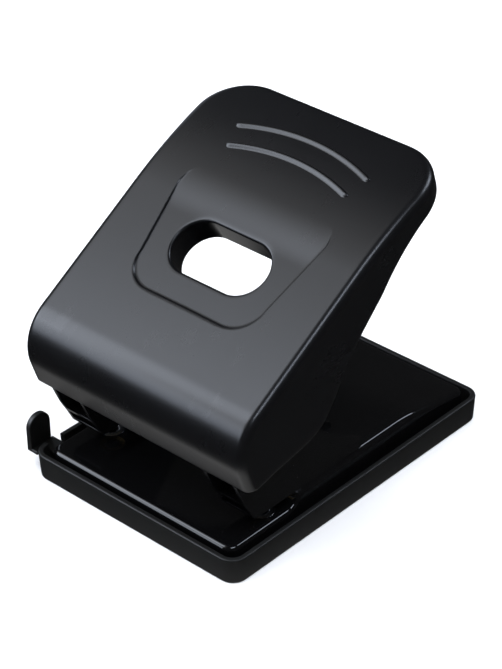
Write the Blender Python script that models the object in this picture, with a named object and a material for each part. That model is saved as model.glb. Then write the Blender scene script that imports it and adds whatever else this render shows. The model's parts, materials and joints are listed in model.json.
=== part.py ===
"""Two-hole desk punch with a long lever handle, modelled as its separate pieces.

The width runs along X, paper enters towards +Y, and the part stands on Z = 0.
"""

import math

import bmesh
import bpy
import numpy as np
from mathutils import Vector

MM = 0.001

# Overall sizes, in millimetres.
TRAY_WIDTH = 108.4
TRAY_DEPTH = 147.7
TRAY_HEIGHT = 11.3
HANDLE_WIDTH = 113.8
HOLE_SPACING = 80.0
PAPER_MARGIN = 12.4

# Chip tray: the soft tub that the punch stands in.
TRAY_WALL = 2.3
TRAY_FLOOR = 1.8
TRAY_CORNER = 7.0
TRAY_DRAFT = 0.6

# Base: a pressed shell with a low paper table and a raised rear deck.
BASE_GAP = 3.0
BASE_WALL = 1.8
BASE_CORNER = 5.5
BASE_FILLET = 2.2
TABLE_TOP = 12.4
DECK_TOP = 19.2
COVE_RADIUS = 6.8
STOP_Y = -30.9
RAMP_START_Y = 32.0
RAMP_END_DROP = 6.6

# Brackets: folded channels that carry the pins and the hinge axle.
SHEET = 1.8
BRACKET_WIDTH = 16.9
JAW_TOP_Z = 28.0
JAW_PLATE = 2.0
BRACKET_REAR_Y = 4.7
HINGE_Y = -59.9
HINGE_Z = 48.5
EAR_RADIUS = 5.2

# Side view of an ear, as (y, z). The shoulder and front edge are measured from the hinge, and
# the hollow rear edge is an arc whose centre is measured from the foot's rear lower corner.
EAR_FRONT = 4.0
EAR_HEEL = (-0.5, 4.9)
EAR_REAR_CENTRE = (34.0, 79.0)
EAR_REAR_RADIUS = 81.8
EAR_REAR_TURN = (246.5, 214.0)
EAR_SHOULDER = (21.0, 7.5)
EAR_EYE_TURN = (75, 205)
EAR_FRONT_EDGE = ((-3.6, -8.2), (-5.6, -9.3), (-2.1, -17.5), (1.0, -23.1))

# Pins, dies and springs.
PIN_RADIUS = 2.75
PIN_HEAD_RADIUS = 5.0
PIN_HEAD_HEIGHT = 2.8
PIN_TIP_Z = 20.4
PIN_CLEARANCE = 0.3
DIE_WALL = 2.4
DIE_HEIGHT = 3.4
BUSH_WALL = 2.1
BUSH_FLANGE = 1.2
COLLAR_HEIGHT = 1.5
SPRING_WIRE_RADIUS = 0.5
SPRING_TURNS = 4

# Handle shell.
HANDLE_WALL = 2.2
HANDLE_CORNER = 22.0
HANDLE_BEVEL = 3.5
HANDLE_LENGTH = 160.4
NOSE_RADIUS = 20.0
SLOPE_DEG = 31.5
NOSE_LEAN_DEG = 18.0
NOSE_FRONT_LENGTH = 10.05
NOSE_ABOVE_HINGE = 7.77
NOSE_BEHIND_HINGE = 8.88
CROWN_START = 99.5
CROWN_RADIUS = 210.0
LIP_EDGE = 1.2
LIP_RISE = 0.4
WINDOW_CENTRE = 84.1
WINDOW_LENGTH = 45.2
WINDOW_WIDTH = 23.2
COLLAR_DEPTH = 13.0
COLLAR_WALL = 1.8
SWING_DEG = 34.0

# Hinge, feet and rivets.
AXLE_RADIUS = 2.5
AXLE_CLEARANCE = 0.3
BUSH_RADIUS = 4.4
CAM_RADIUS = 3.0
FOOT_WIDTH = 8.0
FOOT_DEPTH = 13.0
RIVET_RADIUS = 2.0
RIVET_HEAD_RADIUS = 3.6
RIVET_HEAD_HEIGHT = 1.3
RIVET_FROM_STOP = 9.0
RIVET_FROM_REAR = 7.0

# Paper guide: a flat rail with an upturned end tab.
RAIL_WIDTH = 7.6
RAIL_THICKNESS = 1.5
RAIL_Z = 6.6
HOLDER_WALL = 1.2
RAIL_END_ROOM = 2.2
HOLDER_X = 38.0
TAB_WIDTH = 11.0
TAB_THICKNESS = 2.4
TAB_TOP_Z = 22.2
TAB_STANDOFF = 3.7
TAB_AHEAD = 2.8

GAP = 0.3
SIDES = 24


# Worked-out sizes.
PIN_X = HOLE_SPACING / 2
PIN_Y = STOP_Y - PAPER_MARGIN
BASE_HALF = TRAY_WIDTH / 2 - TRAY_WALL - BASE_GAP
BASE_FRONT = -TRAY_DEPTH / 2 + TRAY_WALL + 2.1
BASE_REAR = TRAY_DEPTH / 2 - TRAY_WALL - 1.1
RAIL_Y = BASE_FRONT + BASE_WALL + HOLDER_WALL + 2 * GAP + RAIL_WIDTH / 2
BORE_RADIUS = PIN_RADIUS + PIN_CLEARANCE
BUSH_OUTER = BORE_RADIUS + BUSH_WALL
BUSH_FLANGE_RADIUS = BRACKET_WIDTH / 2 - SHEET - GAP
DIE_OUTER = BORE_RADIUS + DIE_WALL
CAM_ARM = PIN_Y - HINGE_Y
CAM_Z = HINGE_Z + CAM_ARM * math.tan(math.radians(SWING_DEG / 2))
PIN_TOP_Z = CAM_Z - CAM_RADIUS - GAP
JAW_Z = DECK_TOP + GAP
SLOPE = math.radians(SLOPE_DEG)
NOSE_CENTRE = Vector((HINGE_Y + NOSE_BEHIND_HINGE, HINGE_Z + NOSE_ABOVE_HINGE))


def remove_everything():
    for item in list(bpy.data.objects):
        bpy.data.objects.remove(item, do_unlink=True)


def make_material(name, color, roughness, metallic):
    material = bpy.data.materials.new(name)
    material.use_nodes = True
    shader = material.node_tree.nodes["Principled BSDF"]
    shader.inputs["Base Color"].default_value = (*color, 1.0)
    shader.inputs["Roughness"].default_value = roughness
    shader.inputs["Metallic"].default_value = metallic
    return material


def mesh_object(name, points, faces, material, origin=(0, 0, 0)):
    """Makes an object from points in millimetres, with its origin at the given place."""
    mesh = bpy.data.meshes.new(name)
    base = Vector(origin)
    mesh.from_pydata([(Vector(p) - base) * MM for p in points], [], faces)
    mesh.materials.append(material)
    mesh.shade_smooth()
    mesh.set_sharp_from_angle(angle=math.radians(35))
    item = bpy.data.objects.new(name, mesh)
    item.location = base * MM
    bpy.context.collection.objects.link(item)
    return item


def prism(name, outline, low, high, material, axis="X"):
    """Carries a closed outline from low to high along X, Y or Z."""
    place = {
        "X": lambda a, b, c: (c, a, b),
        "Y": lambda a, b, c: (a, c, b),
        "Z": lambda a, b, c: (a, b, c),
    }[axis]
    count = len(outline)
    points = [place(a, b, low) for a, b in outline] + [place(a, b, high) for a, b in outline]
    faces = [list(range(count)), list(range(count, 2 * count))]
    faces += [[i, (i + 1) % count, count + (i + 1) % count, count + i] for i in range(count)]
    item = mesh_object(name, points, faces, material)
    face_outward(item)
    return item


def face_outward(item):
    shape = bmesh.new()
    shape.from_mesh(item.data)
    bmesh.ops.recalc_face_normals(shape, faces=shape.faces)
    shape.to_mesh(item.data)
    shape.free()


def turned(name, profile, centre, material, axis="Z", sides=SIDES):
    """Turns a closed profile of (radius, height) points once about an axis through centre.

    A point with radius 0 lies on the axis; a profile without one makes a ring.
    """
    points = []
    faces = []
    rows = []
    for radius, height in profile:
        if radius == 0:
            rows.append([len(points)] * sides)
            points.append((0, 0, height))
        else:
            rows.append([len(points) + i for i in range(sides)])
            turns = [2 * math.pi * i / sides for i in range(sides)]
            points += [(radius * math.cos(t), radius * math.sin(t), height) for t in turns]
    for first, second in zip(rows, rows[1:] + rows[:1]):
        for i in range(sides):
            j = (i + 1) % sides
            corners = list(dict.fromkeys([first[i], first[j], second[j], second[i]]))
            if len(corners) > 2:
                faces.append(corners)
    if axis == "X":
        points = [(z, x, y) for x, y, z in points]
    points = [tuple(Vector(p) + Vector(centre)) for p in points]
    item = mesh_object(name, points, faces, material, origin=centre)
    face_outward(item)
    return item


def cut(item, cutter):
    """Takes a cutter out of an object with an exact Boolean."""
    modifier = item.modifiers.new("cut", "BOOLEAN")
    modifier.operation = "DIFFERENCE"
    modifier.solver = "EXACT"
    modifier.object = cutter
    cutter.hide_render = True
    cutter.display_type = "WIRE"


def join_to(item, other):
    """Unites another solid with an object with an exact Boolean."""
    cut(item, other)
    item.modifiers[-1].operation = "UNION"


def arc(centre, radius, start_deg, end_deg, count):
    turns = [math.radians(start_deg + (end_deg - start_deg) * i / count) for i in range(count + 1)]
    return [(centre[0] + radius * math.cos(t), centre[1] + radius * math.sin(t)) for t in turns]


def rounded_rectangle(left, right, front, rear, radius, count=4):
    outline = arc((right - radius, rear - radius), radius, 0, 90, count)
    outline += arc((left + radius, rear - radius), radius, 90, 180, count)
    outline += arc((left + radius, front + radius), radius, 180, 270, count)
    outline += arc((right - radius, front + radius), radius, 270, 360, count)
    return outline


def box(name, low, high, material):
    outline = [(low[0], low[1]), (high[0], low[1]), (high[0], high[1]), (low[0], high[1])]
    return prism(name, outline, low[2], high[2], material, axis="Z")


# Chip tray and base.


def make_chip_tray(plastic):
    """An open tub whose sides lean out a little, with a notch for the guide rail."""
    half = TRAY_WIDTH / 2
    deep = TRAY_DEPTH / 2
    levels = [
        (0.0, TRAY_DRAFT),
        (TRAY_HEIGHT, 0.0),
        (TRAY_HEIGHT, TRAY_WALL),
        (TRAY_FLOOR, TRAY_WALL + TRAY_DRAFT),
    ]
    points = []
    for height, inset in levels:
        radius = TRAY_CORNER - inset * 0.8
        ring = rounded_rectangle(-half + inset, half - inset, -deep + inset, deep - inset, radius)
        points += [(x, y, height) for x, y in ring]
    count = len(points) // len(levels)
    faces = [list(range(count)), list(range(3 * count, 4 * count))]
    for level in range(len(levels) - 1):
        start = level * count
        for i in range(count):
            j = (i + 1) % count
            faces.append([start + i, start + j, start + count + j, start + count + i])
    tray = mesh_object("chip_tray", points, faces, plastic)
    face_outward(tray)
    low = (-half - 2, RAIL_Y - RAIL_WIDTH / 2 - GAP, RAIL_Z - GAP)
    high = (-half + TRAY_WALL + 2, RAIL_Y + RAIL_WIDTH / 2 + GAP, TRAY_HEIGHT + 2)
    cut(tray, box("cut_tray_notch", low, high, plastic))
    return tray


def base_profile(inset):
    """The side view of the base's upper surface, front to rear, moved inwards by inset."""
    table = TABLE_TOP - inset
    deck = DECK_TOP - inset
    rear_top = DECK_TOP - RAMP_END_DROP - inset
    front = BASE_FRONT + inset
    rear = BASE_REAR - inset
    fillet = max(BASE_FILLET - inset, 0.4)
    cove = COVE_RADIUS + inset
    cove_centre = (STOP_Y + inset - cove, table + cove)
    end = math.degrees(math.asin((deck - cove_centre[1]) / cove))
    profile = arc((front + fillet, table - fillet), fillet, 180, 90, 3)
    profile += [(front + BASE_CORNER * 0.6, table), (front + BASE_CORNER, table)]
    profile += arc(cove_centre, cove, -90, end - 0.01, 6)
    profile += [(STOP_Y + inset + 0.3, deck), (RAMP_START_Y, deck)]
    near = rear - BASE_CORNER
    slope = (deck - rear_top) / (rear - fillet - RAMP_START_Y)
    for y in (near, near + BASE_CORNER * 0.4):
        profile.append((y, deck - slope * (y - RAMP_START_Y)))
    profile += arc((rear - fillet, rear_top - fillet), fillet, 90, 0, 3)
    return profile


def base_sections(inset, bottom):
    """Rows of points across the base, one row for each place along its side view."""
    half = BASE_HALF - inset
    corner = BASE_CORNER - inset
    fillet = max(BASE_FILLET - inset, 0.4)
    profile = base_profile(inset)
    front = profile[0][0]
    rear = profile[-1][0]
    rows = []
    for y, top in profile:
        short = max(corner - (y - front), corner - (rear - y), 0.0)
        width = half - corner + math.sqrt(max(corner * corner - short * short, 0.0))
        side = [(width, bottom)]
        side += [(width - fillet + a, top - fillet + b) for a, b in arc((0, 0), fillet, 0, 90, 2)]
        row = [(-x, y, z) for x, z in side] + [(x, y, z) for x, z in reversed(side)]
        rows.append(row)
    return rows


def make_base_plate(steel):
    """A pressed shell: low table in front, cove up to the deck, ramp down to the rear edge."""
    bottom = TRAY_FLOOR + GAP
    outer = base_sections(0.0, bottom)
    inner = base_sections(BASE_WALL, bottom)
    count = len(outer[0])
    points = [p for row in outer + inner for p in row]
    shift = len(outer) * count
    faces = []
    for start in (0, shift):
        for row in range(len(outer) - 1):
            for i in range(count - 1):
                a = start + row * count + i
                faces.append([a, a + 1, a + 1 + count, a + count])
        last = start + (len(outer) - 1) * count
        faces.append([start + i for i in range(count)])
        faces.append([last + i for i in range(count)])
    for row in range(len(outer) - 1):
        for i in (0, count - 1):
            a = row * count + i
            faces.append([a, a + count, shift + a + count, shift + a])
    for row in (0, len(outer) - 1):
        a = row * count
        faces.append([a, a + count - 1, shift + a + count - 1, shift + a])
    shell = mesh_object("base_plate", points, faces, steel)
    face_outward(shell)

    for side_name, x in (("left", -PIN_X), ("right", PIN_X)):
        radius = DIE_OUTER + GAP
        profile = [(0, -6), (radius, -6), (radius, 6), (0, 6)]
        cut(shell, turned("cut_die_" + side_name, profile, (x, PIN_Y, TABLE_TOP), steel))
        for place, y in rivet_places():
            radius = RIVET_RADIUS + GAP
            profile = [(0, -6), (radius, -6), (radius, 6), (0, 6)]
            name = "cut_rivet_" + side_name + "_" + place
            cut(shell, turned(name, profile, (x, y, DECK_TOP), steel, sides=12))
    low = (-BASE_HALF - 2, RAIL_Y - RAIL_WIDTH / 2 - GAP, bottom - 2)
    high = (-BASE_HALF + BASE_WALL + 1, RAIL_Y + RAIL_WIDTH / 2 + GAP, RAIL_Z + RAIL_THICKNESS + GAP)
    cut(shell, box("cut_rail_slot", low, high, steel))
    return shell


def rivet_places():
    return (("front", STOP_Y + RIVET_FROM_STOP), ("rear", BRACKET_REAR_Y - RIVET_FROM_REAR))


# Brackets and what they hold.


def ear_outline():
    """The side view of a bracket, counter-clockwise from the front of its lower edge."""
    heel = (BRACKET_REAR_Y + EAR_HEEL[0], JAW_Z + EAR_HEEL[1])
    outline = [(HINGE_Y + EAR_FRONT, JAW_Z), (BRACKET_REAR_Y, JAW_Z), heel]
    rear_centre = (BRACKET_REAR_Y + EAR_REAR_CENTRE[0], JAW_Z + EAR_REAR_CENTRE[1])
    outline += arc(rear_centre, EAR_REAR_RADIUS, *EAR_REAR_TURN, 9)[1:]
    outline += [(HINGE_Y + EAR_SHOULDER[0], HINGE_Z + EAR_SHOULDER[1])]
    outline += arc((HINGE_Y, HINGE_Z), EAR_RADIUS, *EAR_EYE_TURN, 7)
    outline += [(HINGE_Y + y, HINGE_Z + z) for y, z in EAR_FRONT_EDGE]
    return outline


def make_bracket(side_name, sign, steel):
    """A folded channel: two ears, a riveted foot, and two plates that hold the pin's bush."""
    inner = PIN_X - BRACKET_WIDTH / 2
    outer = PIN_X + BRACKET_WIDTH / 2
    low, high = sorted((sign * inner, sign * outer))
    bracket = prism("bracket_" + side_name, ear_outline(), low, high, steel)
    slot_low = low + SHEET
    slot_high = high - SHEET
    far = 100.0
    rear_gap = JAW_Z + JAW_PLATE
    top_gap = JAW_TOP_Z
    jaw_rear = STOP_Y - 1.0
    cuts = (
        ("cut_above_" + side_name, (slot_low, -far, top_gap), (slot_high, far, far)),
        ("cut_behind_" + side_name, (slot_low, jaw_rear, rear_gap), (slot_high, far, top_gap + 1)),
        (
            "cut_between_" + side_name,
            (slot_low, -far, rear_gap),
            (slot_high, jaw_rear + 1, top_gap - JAW_PLATE),
        ),
    )
    for name, first, second in cuts:
        cut(bracket, box(name, first, second, steel))
    radius = BUSH_OUTER + GAP
    profile = [(0, -4), (radius, -4), (radius, 12), (0, 12)]
    centre = (sign * PIN_X, PIN_Y, JAW_Z)
    cut(bracket, turned("cut_bush_" + side_name, profile, centre, steel))
    radius = AXLE_RADIUS + AXLE_CLEARANCE
    reach = BRACKET_WIDTH
    profile = [(0, -reach), (radius, -reach), (radius, reach), (0, reach)]
    centre = (sign * PIN_X, HINGE_Y, HINGE_Z)
    cut(bracket, turned("cut_axle_" + side_name, profile, centre, steel, axis="X", sides=16))
    for place, y in rivet_places():
        radius = RIVET_RADIUS + GAP
        profile = [(0, -4), (radius, -4), (radius, 4), (0, 4)]
        name = "cut_foot_" + side_name + "_" + place
        cut(bracket, turned(name, profile, (sign * PIN_X, y, JAW_Z + 1), steel, sides=12))
    return bracket


def make_rivet(side_name, place, x, y, steel):
    """A shank through the foot and the deck, with a head above and a clenched end below."""
    top = JAW_Z + JAW_PLATE + GAP
    low = DECK_TOP - BASE_WALL - GAP
    head = RIVET_HEAD_RADIUS
    profile = [
        (0, top + RIVET_HEAD_HEIGHT),
        (head * 0.75, top + RIVET_HEAD_HEIGHT * 0.8),
        (head, top),
        (RIVET_RADIUS, top),
        (RIVET_RADIUS, low),
        (head * 0.9, low),
        (head * 0.9, low - 0.8),
        (0, low - 0.8),
    ]
    name = "rivet_" + side_name + "_" + place
    return turned(name, profile, (x, y, 0), steel, sides=16)


def make_die(side_name, x, steel):
    top = TABLE_TOP - 0.1
    low = top - DIE_HEIGHT
    profile = [(BORE_RADIUS, low), (DIE_OUTER, low), (DIE_OUTER, top), (BORE_RADIUS, top)]
    return turned("die_" + side_name, profile, (x, PIN_Y, 0), steel)


def make_guide_bush(side_name, x, brass):
    low = JAW_Z + GAP
    shoulder = JAW_TOP_Z + GAP
    top = shoulder + BUSH_FLANGE
    profile = [
        (BORE_RADIUS, low),
        (BUSH_OUTER, low),
        (BUSH_OUTER, shoulder),
        (BUSH_FLANGE_RADIUS, shoulder),
        (BUSH_FLANGE_RADIUS, top),
        (BORE_RADIUS, top),
    ]
    return turned("guide_bush_" + side_name, profile, (x, PIN_Y, 0), brass)


def spring_ends():
    return JAW_TOP_Z + 2 * GAP + BUSH_FLANGE, PIN_TOP_Z - PIN_HEAD_HEIGHT - 2 * GAP - COLLAR_HEIGHT


def make_spring(side_name, x, steel):
    """A round wire carried along a helix about the pin."""
    low, high = spring_ends()
    low += SPRING_WIRE_RADIUS
    high -= SPRING_WIRE_RADIUS
    radius = BORE_RADIUS + SPRING_WIRE_RADIUS + 0.7
    steps = SPRING_TURNS * 12
    ring = 6
    points = []
    for step in range(steps + 1):
        turn = 2 * math.pi * step / 12
        out = Vector((math.cos(turn), math.sin(turn), 0))
        centre = Vector((x, PIN_Y, low + (high - low) * step / steps)) + out * radius
        for k in range(ring):
            angle = 2 * math.pi * k / ring
            lift = Vector((0, 0, SPRING_WIRE_RADIUS * math.sin(angle)))
            points.append(centre + out * SPRING_WIRE_RADIUS * math.cos(angle) + lift)
    faces = [list(range(ring)), list(range(steps * ring, (steps + 1) * ring))]
    for step in range(steps):
        for k in range(ring):
            a = step * ring + k
            b = step * ring + (k + 1) % ring
            faces.append([a, b, b + ring, a + ring])
    spring = mesh_object("return_spring_" + side_name, points, faces, steel)
    face_outward(spring)
    return spring


def make_pin(side_name, x, steel):
    """A hardened pin with a round head; its tip is ground hollow in a shallow V."""
    neck = PIN_TOP_Z - PIN_HEAD_HEIGHT
    profile = [
        (0, PIN_TIP_Z + 0.9),
        (PIN_RADIUS, PIN_TIP_Z),
        (PIN_RADIUS, neck),
        (PIN_HEAD_RADIUS, neck),
        (PIN_HEAD_RADIUS, PIN_TOP_Z - 0.6),
        (PIN_HEAD_RADIUS - 0.8, PIN_TOP_Z),
        (0, PIN_TOP_Z),
    ]
    return turned("punch_pin_" + side_name, profile, (x, PIN_Y, 0), steel)


def make_pin_collar(side_name, x, steel):
    top = PIN_TOP_Z - PIN_HEAD_HEIGHT - GAP
    low = top - COLLAR_HEIGHT
    outer = PIN_HEAD_RADIUS + 1.0
    profile = [(BORE_RADIUS, low), (outer, low), (outer, top), (BORE_RADIUS, top)]
    return turned("pin_collar_" + side_name, profile, (x, PIN_Y, 0), steel)


def make_axle(steel):
    half = HANDLE_WIDTH / 2 - HANDLE_WALL - 3.4
    profile = [
        (0, -half),
        (AXLE_RADIUS - 0.4, -half),
        (AXLE_RADIUS, -half + 0.4),
        (AXLE_RADIUS, half - 0.4),
        (AXLE_RADIUS - 0.4, half),
        (0, half),
    ]
    return turned("hinge_axle", profile, (0, HINGE_Y, HINGE_Z), steel, axis="X", sides=16)


def make_axle_clip(side_name, sign, steel):
    """A spring washer pushed on the axle against the inner face of the bracket's ear."""
    face = PIN_X - BRACKET_WIDTH / 2 - GAP
    inner = AXLE_RADIUS + 0.1
    ends = sorted((sign * face, sign * (face - 1.0)))
    profile = [(inner, ends[0]), (4.6, ends[0]), (4.6, ends[1]), (inner, ends[1])]
    centre = (0, HINGE_Y, HINGE_Z)
    return turned("axle_clip_" + side_name, profile, centre, steel, axis="X", sides=16)


# Handle.


def profile_frame(distance):
    """Place and outward normal of the handle's centre line at a distance from its lip."""
    roll_start = 180.0 + NOSE_LEAN_DEG
    roll_end = 90.0 + SLOPE_DEG
    roll_length = NOSE_RADIUS * math.radians(roll_start - roll_end)
    if distance < NOSE_FRONT_LENGTH:
        turn = math.radians(roll_start)
        normal = Vector((math.cos(turn), math.sin(turn)))
        along = Vector((math.sin(turn), -math.cos(turn)))
        start = NOSE_CENTRE + normal * NOSE_RADIUS
        return start - along * (NOSE_FRONT_LENGTH - distance), normal
    if distance < NOSE_FRONT_LENGTH + roll_length:
        turn = math.radians(roll_start) - (distance - NOSE_FRONT_LENGTH) / NOSE_RADIUS
        normal = Vector((math.cos(turn), math.sin(turn)))
        return NOSE_CENTRE + normal * NOSE_RADIUS, normal
    turn = math.radians(roll_end)
    normal = Vector((math.cos(turn), math.sin(turn)))
    along = Vector((math.cos(SLOPE), math.sin(SLOPE)))
    start = NOSE_CENTRE + normal * NOSE_RADIUS
    straight = distance - NOSE_FRONT_LENGTH - roll_length
    full = CROWN_START - NOSE_FRONT_LENGTH - roll_length
    if straight < full:
        return start + along * straight, normal
    centre = start + along * full - normal * CROWN_RADIUS
    turn -= (straight - full) / CROWN_RADIUS
    normal = Vector((math.cos(turn), math.sin(turn)))
    return centre + normal * CROWN_RADIUS, normal


def surface_point(distance, x, depth):
    place, normal = profile_frame(distance)
    place = place - normal * depth
    return Vector((x, place.x, place.y))


# The skirt's lower edge: distance along the top, then how far behind the hinge and how high.
SKIRT_EDGE = (
    (0.0, -7.0, -8.0),
    (22.0, 7.6, -4.8),
    (40.6, 28.3, -0.2),
    (56.6, 37.0, 7.0),
    (80.6, 49.7, 25.8),
    (105.6, 66.9, 43.6),
)
SKIRT_DEPTH_REAR = 9.0
SKIRT_DEPTH_FRONT = 19.6


def smooth_row(distance, column):
    """A column of the skirt's edge table, read along a smooth curve through its rows.

    Between two rows it is a cubic whose slope at a row is that of the line through the row's
    two neighbours, and at an end row that of its own line.
    """
    at = np.array([row[0] for row in SKIRT_EDGE])
    value = np.array([row[column] for row in SKIRT_EDGE])
    rise = np.diff(value) / np.diff(at)
    inner = (value[2:] - value[:-2]) / (at[2:] - at[:-2])
    slope = np.concatenate([rise[:1], inner, rise[-1:]])
    k = int(np.clip(np.searchsorted(at, distance) - 1, 0, len(at) - 2))
    width = at[k + 1] - at[k]
    t = (distance - at[k]) / width
    near = value[k] * (1 + 2 * t) + slope[k] * width * t
    far = value[k + 1] * (3 - 2 * t) - slope[k + 1] * width * (1 - t)
    return float(near * (1 - t) ** 2 + far * t**2)


def skirt_point(distance):
    """The skirt's lower edge, as (y, z), at a distance along the handle from its lip."""
    last = SKIRT_EDGE[-1][0]
    if distance < last:
        return Vector((HINGE_Y + smooth_row(distance, 1), HINGE_Z + smooth_row(distance, 2)))
    share = (distance - last) / (HANDLE_LENGTH - last)
    depth = SKIRT_DEPTH_FRONT + (SKIRT_DEPTH_REAR - SKIRT_DEPTH_FRONT) * (2 - share) * share
    place, normal = profile_frame(distance)
    return place - normal * depth


def handle_plan():
    """Rays of the handle's plan, as (distance, x) pairs: window edge, outline and its normal."""
    half = HANDLE_WIDTH / 2
    radius = HANDLE_CORNER
    end = HANDLE_LENGTH
    outline = []
    normals = []

    def add(distance, x, normal):
        outline.append(Vector((distance, x)))
        normals.append(Vector(normal))

    for x in np.linspace(-half, half, 13)[1:-1]:
        add(LIP_EDGE, float(x), (0, float(x) / half))
    side_stops = (LIP_EDGE, 6, 10, 14, 18, 22, 26, 30, 34, 40, 47, 55, 66, 80, 93, 105, 115, 126)
    for distance in side_stops:
        add(distance, half, (0, 1))
    for a in np.radians(np.linspace(0, 90, 7)):
        normal = (math.sin(a), math.cos(a))
        add(end - radius + radius * normal[0], half - radius + radius * normal[1], normal)
    for x in np.linspace(half - radius, -half + radius, 8)[1:-1]:
        add(end, float(x), (1, 0))
    for a in np.radians(np.linspace(90, 0, 7)):
        normal = (math.sin(a), -math.cos(a))
        add(end - radius + radius * normal[0], -half + radius + radius * normal[1], normal)
    for distance in reversed(side_stops):
        add(distance, -half, (0, -1))
    return outline, normals


def window_edge(direction, grow):
    """Where a ray from the window's centre meets its round-ended outline, grown outwards."""
    radius = WINDOW_WIDTH / 2 + grow
    straight = (WINDOW_LENGTH - WINDOW_WIDTH) / 2
    ds, dx = direction
    reach = radius / abs(ds) if abs(ds) > 1e-9 else math.inf
    if abs(dx) * reach > straight:
        centre = math.copysign(straight, dx)
        along = dx * centre
        reach = along + math.sqrt(along * along - centre * centre + radius * radius)
    return Vector((WINDOW_CENTRE + ds * reach, dx * reach))


def make_handle_shell(plastic, hinge):
    """One shell whose rings run from the window's collar, over the top and skirt, and back."""
    outline, normals = handle_plan()
    centre = Vector((WINDOW_CENTRE, 0))
    wall = HANDLE_WALL
    bevel = HANDLE_BEVEL
    steps = (0.1, 0.22, 0.35, 0.48, 0.58, 0.67, 0.75, 0.82, 0.88, 0.94)
    rings = [[] for _ in range(2 * len(steps) + 16)]
    for point, normal in zip(outline, normals):
        direction = (point - centre).normalized()
        lip = normal.x == 0 and abs(normal.y) < 0.999

        def edge(inset):
            """The outline moved inwards; along the lip only its width changes."""
            return point - normal * inset

        def lay(plan, depth):
            place = surface_point(plan.x, plan.y, depth)
            rings[lay.row].append(place)
            lay.row += 1

        lay.row = 0
        hole = window_edge(direction, 0.0)
        lay(hole, COLLAR_DEPTH)
        lay(hole, 1.0)
        rim = window_edge(direction, 1.0)
        lay(rim, 0.0)
        start = edge(bevel)
        for share in steps:
            lay(rim.lerp(start, share), 0.0)
        lay(start, 0.0)
        drop = 0.0 if lip else 1.0
        for turn in (30, 60, 90):
            t = math.radians(turn)
            lay(edge(bevel * (1 - math.sin(t))), drop * bevel * (1 - math.cos(t)))
        low = profile_frame(0.0)[0] if lip else skirt_point(point.x)
        rings[lay.row].append(Vector((point.y, low.x, low.y)))
        lay.row += 1
        inside = edge(wall)
        if lip:
            place, up = profile_frame(0.0)
            low_in = place - up * wall
        elif point.x <= LIP_EDGE:
            low_in = low + Vector((wall, LIP_RISE))
        else:
            low_in = skirt_point(inside.x)
        rings[lay.row].append(Vector((inside.y, low_in.x, low_in.y)))
        lay.row += 1
        inner_bevel = bevel - wall
        for turn in (90, 45):
            t = math.radians(turn)
            inset = wall + inner_bevel * (1 - math.sin(t))
            lay(edge(inset), wall + drop * inner_bevel * (1 - math.cos(t)))
        lay(start, wall)
        skin = window_edge(direction, COLLAR_WALL)
        for share in reversed(steps):
            lay(skin.lerp(start, share), wall)
        lay(skin, wall)
        lay(skin, COLLAR_DEPTH)
        used = lay.row
    rings = rings[:used]
    count = len(outline)
    points = [p for ring in rings for p in ring]
    faces = []
    for row in range(used):
        nxt = (row + 1) % used
        for i in range(count):
            j = (i + 1) % count
            faces.append([row * count + i, row * count + j, nxt * count + j, nxt * count + i])
    shell = mesh_object("handle_shell", points, faces, plastic, origin=hinge)
    face_outward(shell)
    return shell


def make_press_foot(side_name, x, plastic, hinge):
    """A block under the shell's top whose round lower end presses on the pin's head."""
    half = FOOT_WIDTH / 2
    front = PIN_Y - CAM_RADIUS
    rear = PIN_Y + FOOT_DEPTH - CAM_RADIUS
    inside = HANDLE_WALL + GAP
    start, normal = profile_frame(CROWN_START - 1.0)
    slope = math.tan(SLOPE)

    def ceiling(y):
        place = start - normal * inside
        return place.y + (y - place.x) * slope

    outline = arc((PIN_Y, CAM_Z), CAM_RADIUS, 180, 300, 6)
    outline += [(rear, CAM_Z + 6.0), (rear, ceiling(rear)), (front, ceiling(front))]
    foot = prism("press_foot_" + side_name, outline, x - half, x + half, plastic)
    return foot


def make_pivot_bush(side_name, sign, plastic):
    """The bearing in the handle's side that turns on the end of the axle."""
    near = PIN_X + BRACKET_WIDTH / 2 + GAP
    far = HANDLE_WIDTH / 2 - HANDLE_WALL - GAP
    ends = sorted((sign * near, sign * far))
    inner = AXLE_RADIUS + 0.05
    blind = far - 1.2 if sign > 0 else -far + 1.2
    if sign > 0:
        profile = [
            (inner, ends[0]),
            (BUSH_RADIUS, ends[0]),
            (BUSH_RADIUS, ends[1]),
            (0, ends[1]),
            (0, blind),
            (inner, blind),
        ]
    else:
        profile = [
            (inner, ends[1]),
            (BUSH_RADIUS, ends[1]),
            (BUSH_RADIUS, ends[0]),
            (0, ends[0]),
            (0, blind),
            (inner, blind),
        ]
    centre = (0, HINGE_Y, HINGE_Z)
    return turned("pivot_bush_" + side_name, profile, centre, plastic, axis="X", sides=20)


# Paper guide.


def make_paper_guide(plastic):
    """A flat rail under the table whose left end carries a foot and an upright, round tab."""
    half = RAIL_WIDTH / 2
    tab_right = -TRAY_WIDTH / 2 - TAB_STANDOFF
    tab_left = tab_right - TAB_THICKNESS
    tab_y = RAIL_Y - TAB_AHEAD
    radius = TAB_WIDTH / 2
    rail_end = BASE_HALF - BASE_WALL - RAIL_END_ROOM
    top = RAIL_Z + RAIL_THICKNESS
    low = (tab_left + 0.5, RAIL_Y - half, RAIL_Z)
    rail = box("paper_guide", low, (rail_end, RAIL_Y + half, top), plastic)
    outline = [(tab_y + radius, RAIL_Z)]
    outline += arc((tab_y, TAB_TOP_Z - radius), radius, 0, 180, 10)
    outline += [(tab_y - radius, RAIL_Z)]
    join_to(rail, prism("add_tab", outline, tab_left, tab_right, plastic))
    low = (tab_right - 0.5, tab_y - radius, RAIL_Z)
    high = (-TRAY_WIDTH / 2 - GAP, RAIL_Y, top)
    join_to(rail, box("add_foot", low, high, plastic))
    return rail


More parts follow.
